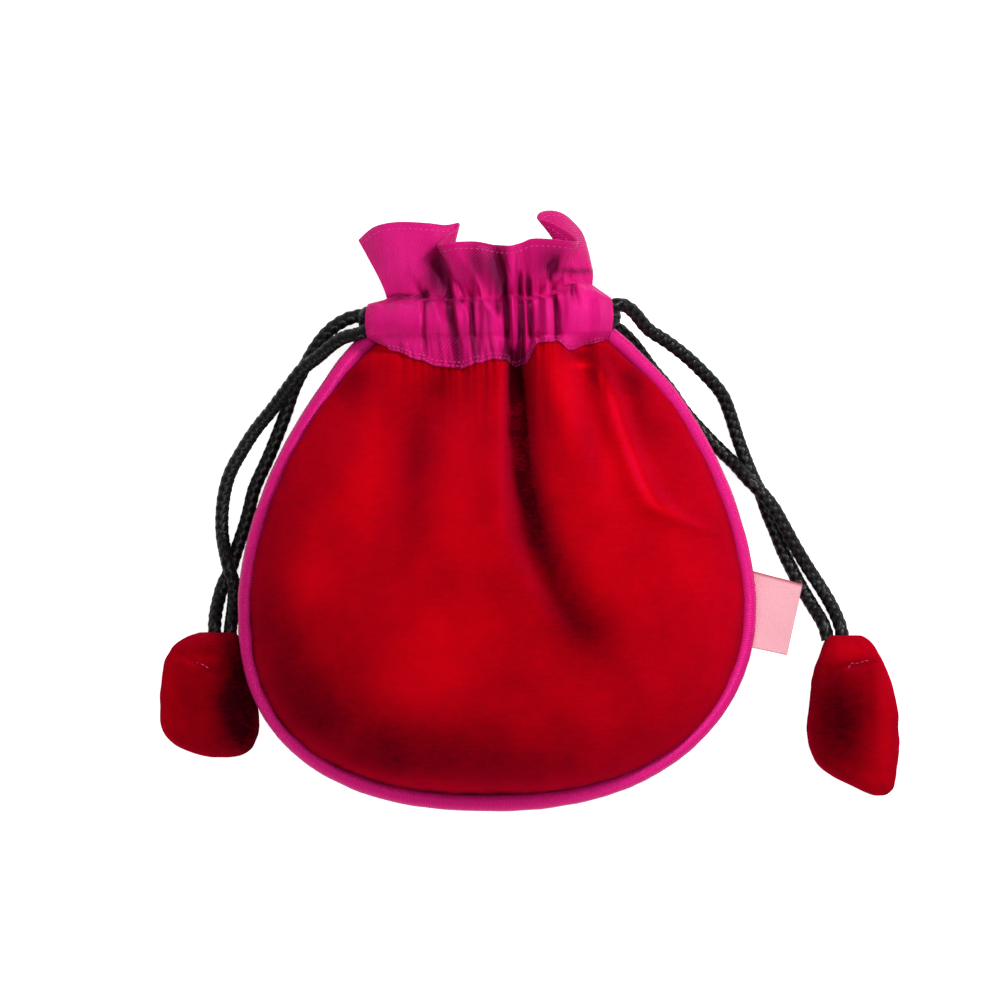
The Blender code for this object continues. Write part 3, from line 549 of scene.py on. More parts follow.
# Neck band: double satin, gathered, with the cord channel and the ruffle above it
bandSetup = {
    "front": {
        "side": 1,
        "edge": [(-0.80, -34.9, 20.8, -1.6), (-0.70, -30.6, 24.1, 1.2), (-0.58, -24.5, 25.2, 3.8),
                 (-0.46, -16.9, 24.9, 5.0), (-0.39, -11.8, 24.4, 4.0), (-0.33, -8.3, 25.0, 3.2),
                 (-0.29, -8.6, 23.6, 6.0), (-0.24, -11.2, 21.3, 9.4), (-0.18, -13.6, 18.6, 12.2),
                 (-0.11, -9.8, 19.3, 13.6), (-0.02, -3.7, 19.6, 11.8), (0.07, 0.8, 18.9, 9.6),
                 (0.12, 3.6, 18.6, 11.2), (0.17, 5.7, 18.5, 12.4), (0.24, 8.4, 19.3, 10.8), (0.31, 11.5, 20.4, 11.0),
                 (0.38, 17.1, 20.2, 11.0), (0.44, 21.8, 19.7, 10.4), (0.49, 23.3, 20.0, 8.0), (0.54, 20.6, 22.7, 5.6),
                 (0.59, 16.0, 25.3, 3.8), (0.63, 12.9, 26.3, 2.0), (0.66, 13.4, 27.9, 0.2), (0.685, 16.0, 28.6, -1.2),
                 (0.71, 19.1, 28.1, -2.2), (0.74, 21.9, 26.1, -2.6), (0.77, 24.9, 22.3, -2.6),
                 (0.80, 25.3, 17.3, -2.6)],
        "crests": [(-0.86, 0.9, 3.0), (-0.66, 0.8, 3.4), (-0.46, 1.4, 2.4), (-0.25, 1.9, 1.6), (-0.13, 1.7, 1.4),
                   (0.01, 2.2, 1.7), (0.13, 1.7, 1.3), (0.45, 2.6, 2.4), (0.67, 1.3, 2.1), (0.84, 1.5, 2.6)]},
    "back": {
        "side": -1,
        "edge": [(-0.80, -34.0, 19.3, -5.0), (-0.66, -28.0, 21.1, -7.0), (-0.45, -20.0, 21.3, -8.6),
                 (-0.25, -12.0, 19.1, -7.2), (-0.05, -4.0, 17.5, -8.4), (0.15, 4.0, 17.3, -7.6),
                 (0.35, 11.0, 18.1, -8.8), (0.55, 18.0, 19.5, -8.4), (0.70, 23.0, 18.3, -7.4),
                 (0.80, 25.6, 15.7, -6.4)],
        "crests": [(-0.75, 0.8, 3.2), (-0.45, 1.1, 2.6), (-0.18, 1.2, 2.4), (0.1, 1.2, 2.4), (0.36, 1.2, 2.4),
                   (0.62, 1.1, 2.6), (0.84, 0.8, 3.0)]}}
channelSize = {"cord": 0.0035, "clearance": 0.0006, "spacing": 0.0039, "wall": 0.0006, "pinch": 0.0055,
               "tuck": 0.0012, "header": 0.0006, "flare": 1.3}


bandSteps = ((6, 26, 26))


def channelPlace(across, side):
    power = body["neckPower"]
    rise = max(0.0, 1 - abs(across) ** power) ** (1 / power)
    x = body["neckShift"] + body["neckWidth"] * across
    normal = Vector((signedPower(across, power - 1) / body["neckWidth"], 0.0,
                     side * rise ** (power - 1) / body["neckDepth"])).normalized()
    return Vector((x, body["channel"] + body["channelSlope"] * x,
                   body["neckHeight"] + side * body["neckDepth"] * rise)), normal


def channelEnd():
    share = body["slit"] / 2 / body["neckDepth"]
    return (1 - share ** body["neckPower"]) ** (1 / body["neckPower"])


def crestHeight(crests, across):
    return sum(height * mm * bell((across - place) * body["neckWidth"], width * mm)
               for place, height, width in crests)


# Folds of the front band's satin, as for the front panel: valleys below 0, ridges above
bandFolds = [
    {"path": [(-16.0, 93.6), (-13.7, 87.2), (-12.4, 80.0), (-11.0, 72.6), (-10.1, 64.4)],
     "height": [(0.0, -0.3), (0.3, -1.2), (0.6, -1.9), (1.0, -1.6)], "left": (2.4, 1.5), "right": (1.2, 0.8)},
    {"path": [(-17.6, 83.0), (-16.4, 80.0), (-15.1, 76.3), (-14.2, 67.2)],
     "height": [(0.0, 0.2), (0.4, 0.9), (1.0, 0.5)], "left": (1.1, 1.4), "right": (0.8, 1.2)},
    {"path": [(-7.3, 84.0), (-6.9, 80.0), (-6.4, 72.7), (-5.5, 64.4)],
     "height": [(0.0, -0.4), (0.4, -1.7), (1.0, -1.2)], "left": (0.7, 0.9), "right": (0.8, 0.9)},
    {"path": [(-11.0, 83.0), (-9.6, 80.2), (-8.0, 77.2), (-8.3, 70.8), (-8.6, 64.0)],
     "height": [(0.0, 0.4), (0.4, 1.1), (1.0, 0.3)], "left": (0.8, 1.0), "right": (0.7, 0.9)},
    {"path": [(-5.0, 83.0), (-2.8, 79.5), (0.6, 74.5), (0.0, 66.3)],
     "height": [(0.0, 0.6), (0.4, 1.7), (1.0, 0.6)], "left": (1.6, 2.6), "right": (1.2, 1.6)},
    {"path": [(2.2, 85.5), (2.4, 78.0), (2.5, 70.8), (1.8, 64.5)],
     "height": [(0.0, -0.6), (0.3, -1.9), (1.0, -2.0)], "left": (0.5, 0.6), "right": (0.5, 0.9)},
    {"path": [(3.4, 97.0), (3.9, 88.0), (3.7, 84.5), (4.2, 78.1), (4.6, 68.0)],
     "height": [(0.0, 0.5), (0.4, 1.2), (0.7, 1.9), (1.0, 1.0)], "left": (0.8, 0.8), "right": (0.8, 1.0)},
    {"path": [(6.0, 86.5), (6.1, 80.0), (6.3, 72.0), (5.2, 64.0)],
     "height": [(0.0, -1.2), (0.3, -2.8), (1.0, -3.6)], "left": (0.5, 0.7), "right": (0.5, 0.9)},
    {"path": [(7.2, 83.0), (7.4, 75.0), (7.6, 68.0)],
     "height": [(0.0, 0.4), (0.5, 1.5), (1.0, 0.6)], "left": (0.5, 0.6), "right": (0.6, 0.6)},
    {"path": [(8.6, 85.0), (8.7, 77.0), (9.0, 69.0)],
     "height": [(0.0, -0.8), (0.5, -1.9), (1.0, -1.2)], "left": (0.5, 0.6), "right": (0.5, 0.7)},
    {"path": [(13.5, 87.0), (12.1, 79.0), (12.2, 72.0), (12.4, 69.0)],
     "height": [(0.0, 1.6), (0.4, 2.5), (1.0, 1.8)], "left": (1.5, 2.2), "right": (1.6, 2.0)},
    {"path": [(13.6, 88.0), (15.3, 79.0), (15.8, 69.0)],
     "height": [(0.0, -1.0), (0.5, -2.3), (1.0, -1.6)], "left": (0.5, 0.7), "right": (0.6, 0.9)},
    {"path": [(17.4, 87.0), (18.4, 78.0), (18.2, 68.1)],
     "height": [(0.0, 0.6), (0.5, 1.1), (1.0, 0.5)], "left": (1.0, 1.2), "right": (1.4, 1.6)},
    {"path": [(19.4, 86.0), (20.2, 82.0), (20.6, 78.0)],
     "height": [(0.0, -0.4), (0.4, -1.2), (1.0, 0.0)], "left": (0.5, 0.7), "right": (0.5, 0.8)},
    {"path": [(17.4, 96.0), (14.6, 88.4), (11.2, 81.8)],
     "height": [(0.0, 0.0), (0.4, -1.2), (1.0, -1.8)], "left": (2.0, 1.0), "right": (1.2, 0.9)},
    {"path": [(-1.2, 97.5), (0.8, 90.0), (2.0, 84.0), (2.6, 80.0)],
     "height": [(0.0, 0.0), (0.4, -1.1), (1.0, -1.8)], "left": (2.2, 1.0), "right": (1.4, 0.8)},
    {"path": [(-10.2, 95.0), (-7.0, 88.5), (-3.6, 82.5)],
     "height": [(0.0, 0.0), (0.5, 0.8), (1.0, 1.0)], "left": (2.2, 1.0), "right": (1.6, 0.9)},
    {"path": [(-23.0, 88.0), (-20.6, 83.0), (-19.2, 80.4)],
     "height": [(0.0, 0.0), (0.5, -0.6), (1.0, -1.0)], "left": (1.6, 0.7), "right": (1.2, 0.6)},
    {"path": [(26.5, 86.0), (27.5, 78.0), (26.0, 68.0)],
     "height": [(0.0, -0.2), (0.5, -0.7), (1.0, -0.3)], "left": (1.2, 1.6), "right": (1.4, 1.6)},
]


# Lit and shaded parts of the front band's satin, as for the velvet
bandShade = [
    (-30, 101, 9, 5, 0.22), (-24, 92, 6, 6, 0.10), (-16.5, 88, 3, 7, -0.50), (-3, 90, 7, 6, -0.42),
    (1.0, 87, 2.0, 7, -0.28), (14, 91, 5, 6, -0.36), (3.8, 88, 0.8, 8, 0.32), (12.2, 76, 2.4, 7, 0.75),
    (24, 79, 7, 10, 0.36), (22, 88.5, 6, 0.8, -0.5), (-0.6, 74, 1.6, 4, 0.26), (-9, 77, 1.0, 4, 0.22),
    (4.6, 65.4, 2.7, 2.3, -1.3), (6.2, 72, 0.6, 7, -0.8), (8.6, 75.5, 0.6, 4, -0.7), (-22, 77, 8, 4, 0.12),
    (23, 98, 3.4, 8, -0.14), (-14, 70, 4, 5, -0.18), (-4, 69, 6, 5, -0.16), (15.5, 78, 0.5, 7, -0.6),
    (-25, 81.8, 5.5, 0.7, -0.6), (-18.8, 81.6, 0.8, 1.7, -0.7), (-9.2, 80.6, 0.9, 1.1, -0.7),
    (0.4, 78.4, 0.8, 2.4, -0.55), (8.0, 84.4, 0.7, 2.8, -0.6), (19.7, 83.0, 0.5, 2.4, -0.5),
    (-12.6, 79, 0.9, 5, -0.4), (-6.6, 76, 0.6, 6, -0.4), (-26, 72, 7, 3, -0.10),
]


def satinShade(rows, side):
    # Shade value of a band: a slow random tone; on the front, painted shade in fold valleys and gathers, painted light
    # on ridges, and the painted light and shade of the listed forms
    shades = []
    for row in rows:
        values = []
        for point in row:
            x, y = point.x / mm, point.y / mm
            value = 0.5 + 0.10 * ripple(x / 5, y / 9, 3.0)
            if side > 0:
                lift = bandLift(point, side) / mm
                value += 0.13 * max(0.0, lift) + 0.24 * min(0.0, lift)
                across = (point.x - body["neckShift"]) / body["neckWidth"]
                rise = point.y - body["channel"] - body["channelSlope"] * point.x
                calm = 1 - 0.7 * ease((rise / mm - 5) / 12)
                value += 0.55 * fineGather(across, min(rise, channelSize["pinch"]), side, calm) / mm
                value += moundLift(bandShade, x, y)
            values.append(min(1.0, max(0.0, value)))
        shades.append(values)
    return shades


def bandLift(spot, side):
    # What the listed folds add at a place of the band, in metres
    if side < 0:
        return 0.0
    total = 0.0
    x, y = spot.x / mm, spot.y / mm
    for fold in bandFolds:
        top, foot = fold["path"][0][1], fold["path"][-1][1]
        if y <= top + 3:
            total += (1 - ease((y - top) / 3)) * foldForm(fold, x, max(y, foot))
    return total * mm


def fineGather(across, rise, side, calm):
    # Small sharp gathers in the cloth; rise is the height above the channel's middle in metres
    x = across * body["neckWidth"] / mm
    drift = 0.35 * math.sin(rise / mm * 0.35 + x * 0.2)
    density = 0.30 + 0.70 * bell(x - 4, 15)
    coarse = ripple((x + drift) / 1.55, rise / mm / 20, 5.0 + side)
    small = ripple((x + drift) / 0.72, rise / mm / 12, 15.0 + side)
    ridged = 1 - 2 * abs(coarse)
    share = 0.42 if side > 0 else 0.9
    return share * (0.62 * (ridged - 0.5) + 0.40 * small) * density * calm * mm


def pinchPlace(x, side):
    # The channel's top line wanders with the gathers and stands higher at the front's right
    x = x / mm
    high = 4.2 * bell(x - 21.5, 5.5) if side > 0 else 0.0
    return channelSize["pinch"] + (high + 0.9 * ripple(x / 2.8, 3.3, 7.0 + side)) * mm


def headerPath(place, setup):
    side = setup["side"]
    edge = setup["edge"]
    across = mix(edge[0][0], edge[-1][0], (place + 1) / 2)
    root, normal = channelPlace(across, side)
    gather = crestHeight(setup["crests"], across)
    root = root + normal * (0.3 * gather - channelSize["tuck"]) + Vector((0.0, pinchPlace(root.x, side), 0.0))
    step = max(index for index in range(len(edge) - 1) if edge[index][0] <= across)
    part = (across - edge[step][0]) / (edge[step + 1][0] - edge[step][0])
    _, x, y, z = curvePoint(edge, (step + part) / (len(edge) - 1))
    tip = Vector((body["neckShift"] + x * mm, body["channel"] + y * mm, body["neckHeight"] + z * mm))
    return root, tip, across


def bandRows(setup, stations):
    # Grid of a band: one row for each level from the seam up over the channel to the ruffle's edge,
    # down its back to the seam again
    side = setup["side"]
    maker = frontPoint if side > 0 else backPoint
    deep = channelSize["cord"] / 2 + channelSize["clearance"]
    tall = channelSize["spacing"] / 2 + deep
    wall = channelSize["wall"]
    reach = channelEnd()
    places = [2 * index / stations - 1 for index in range(stations + 1)]
    heads = [headerPath(place, setup) for place in places]
    outer, inner = [], []
    lowSteps, tubeSteps, headSteps = bandSteps
    for index, place in enumerate(places):
        across = place * reach
        middle, normal = channelPlace(across, side)
        gather = crestHeight(setup["crests"], across)
        pinch = pinchPlace(middle.x, side)
        seam = maker(place * 0.985, 1.0, body["inset"] + (0.0 if abs(place) < 0.9 else 0.3 * mm))
        column = []
        foot = seam + Vector((0.0, -0.2 * mm, side * 0.7 * mm))
        for step in range(lowSteps):
            share = step / lowSteps
            start = middle + Vector((0.0, -tall - wall, 0.0)) + normal * (0.62 * (deep + wall) + gather * 0.8)
            spot = foot.lerp(start, share)
            spot += normal * (ease(share * 2) * (fineGather(across, -0.008 + 0.004 * share, side, 1.0)
                                                 + max(-0.5 * mm, bandLift(spot, side)))
                              + 0.5 * mm * math.sin(math.pi * share))
            column.append(spot)
        for step in range(tubeSteps):
            turn = step / tubeSteps
            rise = mix(-tall - wall, pinch - 0.9 * mm, turn)
            swell = 0.62 + 0.48 * math.sin(math.pi * min(1.0, turn * 1.06)) ** 0.8
            if turn > 0.9:
                swell -= 0.25 * ease((turn - 0.9) / 0.1)
            calm = 0.55 + 0.5 * abs(2 * turn - 1) ** 2
            spot = middle + Vector((0.0, rise, 0.0))
            push = swell * (deep + wall) + gather * mix(0.8, 1.0, turn) + fineGather(across, rise, side, calm)
            push += bandLift(spot, side)
            away = max(0.0, abs(rise) - channelSize["spacing"] / 2)
            floor = 0.15 * mm + math.sqrt(max(0.0, (channelSize["cord"] / 2 + 0.25 * mm) ** 2 - away ** 2))
            column.append(spot + normal * (max(push, floor) + 0.12 * max(0.0, push - floor)))
        root, tip, rootAcross = heads[index]
        before, after = heads[max(index - 1, 0)], heads[min(index + 1, stations)]
        backColumn = []
        for step in range(headSteps + 1):
            share = step / headSteps
            out = share ** channelSize["flare"]
            spot = Vector((mix(root.x, tip.x, out), mix(root.y, tip.y, share), mix(root.z, tip.z, out)))
            along = before[0].lerp(before[1], out) - after[0].lerp(after[1], out)
            facing = along.cross(tip - root).normalized() * -side
            calm = 1.15 * (1 - share) ** 1.3 + 0.10
            ruffle = fineGather(rootAcross * (1 + 0.2 * share), channelSize["pinch"] + 0.012 * share, side, calm)
            ruffle += bandLift(spot, side) * (1 - ease((share - 0.6) / 0.4)) * max(0.0, facing.z)
            belly = 0.8 * mm * math.sin(math.pi * share ** 0.8)
            thick = channelSize["header"] / 2 * (1.0 if share < 0.97 else 0.75)
            column.append(spot + facing * (ruffle + belly + thick))
            backColumn.append(spot + facing * (ruffle + belly - thick))
        lip = (column[-1] + backColumn[-1]) / 2 + (tip - root).normalized() * thick * 0.8
        column.append(lip)
        backColumn = backColumn[::-1]
        for step in range(5):
            share = step / 4
            rise = mix(pinch - 1.0 * mm, -tall - wall, share)
            inward = normal * (deep + wall * 1.4) * min(1.0, 0.5 + 2 * share)
            backColumn.append(middle + Vector((0.0, rise, 0.0)) - inward)
        backColumn.append(seam + Vector((0.0, 0.0, -side * 1.1 * mm)))
        outer.append(column)
        inner.append(backColumn)
    return [list(row) for row in zip(*[a + b for a, b in zip(outer, inner)])]


def makeBand(name, node, key, satin):
    stations = 520
    rows = bandRows(bandSetup[key], stations)
    item = gridObject(name, rows, satin, shade=satinShade(rows, bandSetup[key]["side"]))
    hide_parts(node)
    return item, rows


# Lining: plain satin bag inside the velvet
def makeLining(satin):
    columns, rowCounts = ((60, (18, 40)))
    sides, ups = gridPlaces(columns, rowCounts)
    inset, sink, top, neckLift, bellyGap = 0.0067, 0.0018, 0.0624, 0.0038, 0.0015
    rows = []
    for up in ups:
        row = []
        for side in sides:
            spot, reach, _, level = planPoint(side, up, inset, top, False)
            rise = bellyRise(up, 0.85)
            lift = mix(neckLift, body["front"] - bellyGap, rise) - sink
            wave = 0.35 * mm * ripple(spot.x / mm / 3.2, spot.y / mm / 22, 2.0) * (1 - reach ** 4)
            row.append(Vector((spot.x, spot.y, rimHeight(level) + max(lift, 0.0) * arch(reach, up, rise) + wave)))
        under = [backPoint(side, up, inset, sink + 0.0004, top, False) for side in sides]
        rows.append(row + under[-2:0:-1])
    item = gridObject("satinLining", rows, satin, around=True)
    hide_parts("lining")


# Drawcords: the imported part's routes, in metres
cordSetup = {"diameter": 0.0035, "pitch": 0.0013, "step": 0.00026, "turnReach": 0.97}
leftRunIn = [(-75.5, -9.3, 7.6), (-75.6, -6.1, 7.3), (-75.4, -2.4, 5.2), (-74.7, 1.3, 2.8), (-73.7, 5.0, 1.8),
             (-71.8, 8.7, 1.8), (-70.6, 12.5, 1.8), (-69.4, 16.2, 1.8), (-67.8, 20.9, 1.8),
             (-66.5, 25.7, 1.8), (-65.2, 31.0, 1.8), (-61.7, 38.7, 1.8), (-58.8, 45.8, 1.8),
             (-56.7, 51.4, 2.0), (-54.6, 57.5, 3.2), (-51.8, 63.1, 5.0), (-48.5, 68.8, 6.8),
             (-44.7, 73.3, 8.2), (-40.3, 76.1, 9.0), (-36.9, 77.0, 9.2)]
leftRunOut = [(-36.5, 72.0, 16.2), (-40.6, 71.2, 13.8), (-44.4, 68.9, 11.8), (-47.4, 66.3, 10.4),
              (-51.9, 62.9, 9.0), (-55.4, 58.6, 7.3), (-60.2, 52.3, 3.8), (-64.7, 46.9, 1.9),
              (-68.1, 41.7, 1.8), (-71.6, 35.4, 1.8), (-73.2, 30.0, 1.8), (-73.9, 24.6, 1.8),
              (-73.9, 19.1, 2.2), (-73.2, 15.0, 3.9), (-72.5, 12.2, 5.3), (-71.7, 9.0, 5.9), (-70.6, 5.6, 5.0),
              (-70.5, 2.1, 4.4), (-70.8, -1.9, 5.6), (-71.3, -6.1, 7.3), (-71.5, -9.3, 7.6)]
rightRunIn = [(92.5, -9.2, 7.6), (91.8, -5.6, 7.1), (89.9, -0.8, 4.2), (87.2, 4.0, 2.4), (83.6, 9.5, 2.8),
              (80.1, 15.2, 4.0), (77.0, 20.8, 4.8), (74.2, 25.7, 5.4), (70.8, 29.9, 5.8),
              (67.4, 33.2, 5.6), (63.9, 37.4, 3.2), (60.7, 40.5, 1.9), (55.4, 46.0, 1.8),
              (50.5, 51.5, 1.8), (46.3, 57.5, 2.6), (41.7, 62.8, 4.6), (36.9, 69.2, 7.0), (32.6, 73.4, 8.4)]
rightRunOut = [(32.6, 79.9, 17.4), (36.2, 78.0, 15.2), (40.2, 73.4, 12.4), (44.8, 70.5, 10.4),
               (50.4, 66.4, 8.2), (55.7, 61.5, 6.0), (60.3, 56.3, 4.0), (62.6, 51.0, 2.6),
               (64.7, 44.4, 1.9), (66.7, 39.0, 1.8), (68.9, 33.7, 1.8), (71.0, 29.4, 1.8),
               (72.6, 24.6, 1.8), (74.7, 19.6, 1.8), (76.9, 14.0, 1.8), (79.5, 8.7, 1.8),
               (82.0, 4.0, 1.9), (84.8, -0.8, 3.6), (87.6, -5.8, 7.1), (88.5, -9.7, 7.6)]


def channelRun(side, lane, forward):
    reach = channelEnd()
    count = 14
    run = []
    for index in range(count):
        middle, _ = channelPlace(reach * (2 * index / (count - 1) - 1), side)
        run.append(middle + Vector((0.0, lane * channelSize["spacing"] / 2, 0.0)))
    return run if forward else run[::-1]


def slitTurn(end, fromSide, fromLane):
    turn = []
    for share in (-0.62, 0.0, 0.62):
        x = body["neckShift"] + end * body["neckWidth"] * (cordSetup["turnReach"] - 0.025 * abs(share))
        y = body["channel"] + body["channelSlope"] * x - 1.5 * share * fromLane * channelSize["spacing"] / 2
        turn.append(Vector((x, y, body["neckHeight"] - share * fromSide * body["slit"] / 2)))
    return turn


def cordRoute(runIn, runOut, lane, end):
    # Through the back channel, round the slit at the far end, and back through the front channel
    back, front = -1, 1
    route = [Vector(point) * mm for point in runIn]
    route += channelRun(back, lane, end > 0)
    route += slitTurn(end, back, lane)
    route += channelRun(front, -lane, end < 0)
    return route + [Vector(point) * mm for point in runOut]


def evenSpaced(route, step):
    fine = [Vector(curvePoint(route, index / 6000)) for index in range(6001)]
    marks = lengthMarks(fine)
    count = round(marks[-1] / step)
    points, cursor = [], 0
    for index in range(count + 1):
        while cursor < len(marks) - 1 and marks[cursor] < marks[-1] * index / count:
            cursor += 1
        points.append(fine[cursor])
    for _ in range(30):
        smooth = [points[0]] + [(a + b * 2 + c) / 4 for a, b, c in zip(points, points[1:], points[2:])] + [points[-1]]
        points = smooth
    return points, marks[-1]


def braidRelief(turn, long):
    # Height from -1 to 1 of a braid of strands that cross two over two
    strands = 8
    first = (turn * strands + long) / 2
    second = (turn * strands - long) / 2
    a, b = first % 1.0, second % 1.0
    over = (math.floor(first) + math.floor(second)) % 2
    across, run = (a, b) if over else (b, a)
    hump = math.sin(math.pi * across) ** 0.6
    return hump * (0.72 + 0.28 * math.sin(math.pi * run)) * 2 - 1


def makeCord(name, node, route, black):
    points, length = evenSpaced(route, cordSetup["step"] * (1))
    sides = 24
    radius = cordSetup["diameter"] / 2
    rows, shade, facing = [], [], Vector((0.0, 0.0, 1.0))
    long = 0.0
    for index, point in enumerate(points):
        before, after = points[max(index - 1, 0)], points[min(index + 1, len(points) - 1)]
        tangent = (after - before).normalized()
        facing = (facing - tangent * facing.dot(tangent)).normalized()
        other = tangent.cross(facing)
        if index:
            long += (point - points[index - 1]).length
        row, reliefs = [], []
        for side in range(sides):
            turn = side / sides
            relief = braidRelief(turn, long / cordSetup["pitch"])
            out = radius * (0.97 + 0.11 * relief)
            angle = 2 * math.pi * turn
            row.append(point + facing * math.cos(angle) * out + other * math.sin(angle) * out)
            reliefs.append(relief)
        rows.append(row)
        shade.append(reliefs)
    # the braid's relief is also its shade value: painted shade in the grooves, painted light on the raised strands
    item = gridObject(name, rows, black, around=True, capped=True, shade=shade)
    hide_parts(node)


# Stoppers: rows of height, left and right edge in plan and share of the full thickness, in millimetres
leftStopper = {"thick": 17.0, "seed": 3.0, "rows": [
    (-7.6, -79.6, -69.9, 0.20), (-8.6, -82.6, -69.0, 0.45), (-10.2, -85.6, -68.2, 0.66), (-12.6, -87.4, -67.6, 0.84),
    (-16.4, -89.0, -66.6, 0.96), (-22.5, -90.0, -65.0, 1.0), (-27.8, -89.9, -64.0, 1.0), (-33.1, -89.4, -63.8, 0.92),
    (-36.4, -87.2, -64.4, 0.80), (-38.8, -83.6, -65.6, 0.62), (-40.4, -79.4, -68.0, 0.36),
    (-41.0, -76.4, -71.0, 0.15)],
    "creases": [(-79.6, -16.0, 5.0, 0.7, -0.47, 1.3), (-84, -24, 1.4, 8.0, 0.1, 0.4), (-76, -28, 3.0, 9.0, 0.1, 0.6)],
    # nap: painted shade on the side towards the pouch, painted light on the outer side and near the cord
    "nap": [(-67.4, -25, 8.5, 24, -0.56), (-80, -28, 6, 12, -0.10), (-89, -22, 2.6, 12, 0.32),
            (-79.6, -14.6, 5, 1.2, 0.16)],
    "stitches": [(-81.4, -14.6), (-79.6, -15.3), (-77.8, -16.4), (-76.0, -17.5)]}
rightStopper = {"thick": 17.4, "seed": 8.0, "rows": [
    (-8.4, 89.0, 97.4, 0.20), (-9.6, 87.9, 99.4, 0.42), (-12.0, 86.7, 101.2, 0.66), (-15.4, 85.2, 103.4, 0.86),
    (-20.5, 84.0, 105.3, 0.97), (-27.0, 83.5, 106.7, 1.0), (-33.1, 83.1, 107.5, 1.0), (-38.6, 83.6, 107.4, 0.96),
    (-43.0, 86.0, 107.1, 0.88), (-46.4, 90.2, 106.6, 0.74), (-49.0, 95.6, 106.0, 0.54), (-50.6, 99.0, 104.6, 0.30),
    (-51.2, 100.8, 103.4, 0.14)],
    "creases": [(95.5, -16.2, 6.0, 0.7, 0.12, 1.4), (89.0, -18.6, 3.0, 0.8, 0.8, 1.0),
                (93.0, -41.0, 6.0, 1.6, -0.6, 0.9), (99.0, -28, 1.2, 11.0, 0.0, 0.6)],
    # nap: painted shade on the side towards the pouch, painted light on the outer side and near the cord
    "nap": [(90.5, -30, 8.5, 15, -0.44), (103.6, -28, 3.0, 16, 0.30), (94, -12, 7, 3.0, 0.35), (101, -46, 4, 4, 0.22)],
    "stitches": [(93.0, -16.8), (94.6, -15.9), (96.2, -15.5), (98.0, -15.2), (99.8, -15.3)]}


def makeStopper(name, node, form, velvet):
    levels, sides = ((110, 120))
    rows = []
    profile = form["rows"]
    for level in range(levels + 1):
        place = 0.5 - 0.5 * math.cos(math.pi * level / levels)
        y, left, right, share = curvePoint(profile, place)
        middle, half = (left + right) / 2, (right - left) / 2
        lift = form["thick"] / 2 * max(share, 0.12)
        row = []
        for side in range(sides):
            turn = 2 * math.pi * side / sides
            across, rise = signedPower(math.cos(turn), 0.72), signedPower(math.sin(turn), 0.8)
            x = middle + half * across
            z = form["thick"] * 0.49 + lift * rise
            # gathers run down from the cord and up from the foot
            near = math.exp(-(y - profile[-1][0]) / 5.0) + math.exp(-(profile[0][0] - y) / 5.5)
            pucker = 0.9 * near * ripple(3.2 * math.cos(turn), 3.2 * math.sin(turn), form["seed"])
            swell = 0.9 * ripple(x / 9, y / 9, z / 9 + form["seed"])
            swell += 0.25 * ripple(x / 3, y / 3, z / 3 + form["seed"])
            for cx, cy, length, width, tilt, depth in form["creases"]:
                dx, dy = x - cx, y - cy
                along = dx * math.cos(tilt) + dy * math.sin(tilt)
                off = -dx * math.sin(tilt) + dy * math.cos(tilt)
                if rise > 0:
                    swell -= depth * math.exp(-(off / width) ** 2 - (along / length) ** 2)
            push = (pucker + swell) * min(1.0, share * 1.4)
            x += push * across * 0.8
            z += push * rise
            row.append(Vector((x * mm, y * mm, max(z * mm, 0.0002))))
        rows.append(row)
    item = gridObject(name, rows, velvet, around=True, capped=True,
                      shade=[napAndPaintedLight(row, form["nap"], napSetup["stopper"], form["seed"]) for row in rows])
    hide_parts(node)
    return rows


# Label: a folded tape whose two ends are caught in the seam
labelSetup = {"corners": [(65.6, 9.6), (81.1, 5.5), (77.0, -13.6), (64.0, -10.6)],
              "top": 14.4, "layer": 0.4, "gap": 0.35, "droop": 1.8}


def makeLabel(tape):
    start, outTop, outBottom, low = (Vector(corner) for corner in labelSetup["corners"])
    steps, along = ((28, 40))
    rows = []
    layer, gap = labelSetup["layer"], labelSetup["gap"]
    bend = layer + gap / 2
    profile = [(share / steps, 0.0) for share in range(steps)]
    profile += [(1.0, -bend + bend * math.cos(math.pi * turn / 8)) for turn in range(9)]
    profile += [(1 - share / steps, -2 * bend) for share in range(1, steps + 1)]
    profile += [(share / steps * 0.97, -2 * bend + layer) for share in range(steps + 1)]
    profile += [(0.97 * (1 - share / steps), -layer) for share in range(steps + 1)]
    for index in range(along + 1):
        v = index / along
        row = []
        for turn, (out, drop) in enumerate(profile):
            first = start.lerp(outTop, out)
            second = low.lerp(outBottom, out)
            spot = first.lerp(second, v)
            swing = math.sin(math.pi * min(1.0, max(0.0, (turn - steps) / 8))) * 0.4
            curl = 0.25 * math.sin(3.1 * v + 1.0) * out + 0.15 * ripple(out * 2, v * 3, 1.0)
            height = labelSetup["top"] + drop - labelSetup["droop"] * ease(out - 0.15) + curl
            row.append(Vector(((spot.x + swing) * mm, spot.y * mm, height * mm)))
        rows.append(row)
    item = gridObject("wovenLabel", rows, tape, around=True, capped=True,
                      shade=[[1 - ease(index / along / 0.05)] * len(row) for index, row in enumerate(rows)])
    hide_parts("side_label")
    return item


# Stitches
def threadPlace(line, normals, marks, mark):
    # Point and normal of a line at a length along it
    mark = min(max(mark, 0.0), marks[-1])
    for index in range(len(marks) - 1):
        if marks[index + 1] >= mark:
            part = (mark - marks[index]) / max(marks[index + 1] - marks[index], 1e-9)
            return line[index].lerp(line[index + 1], part), normals[index]
    return line[-1], normals[-1]


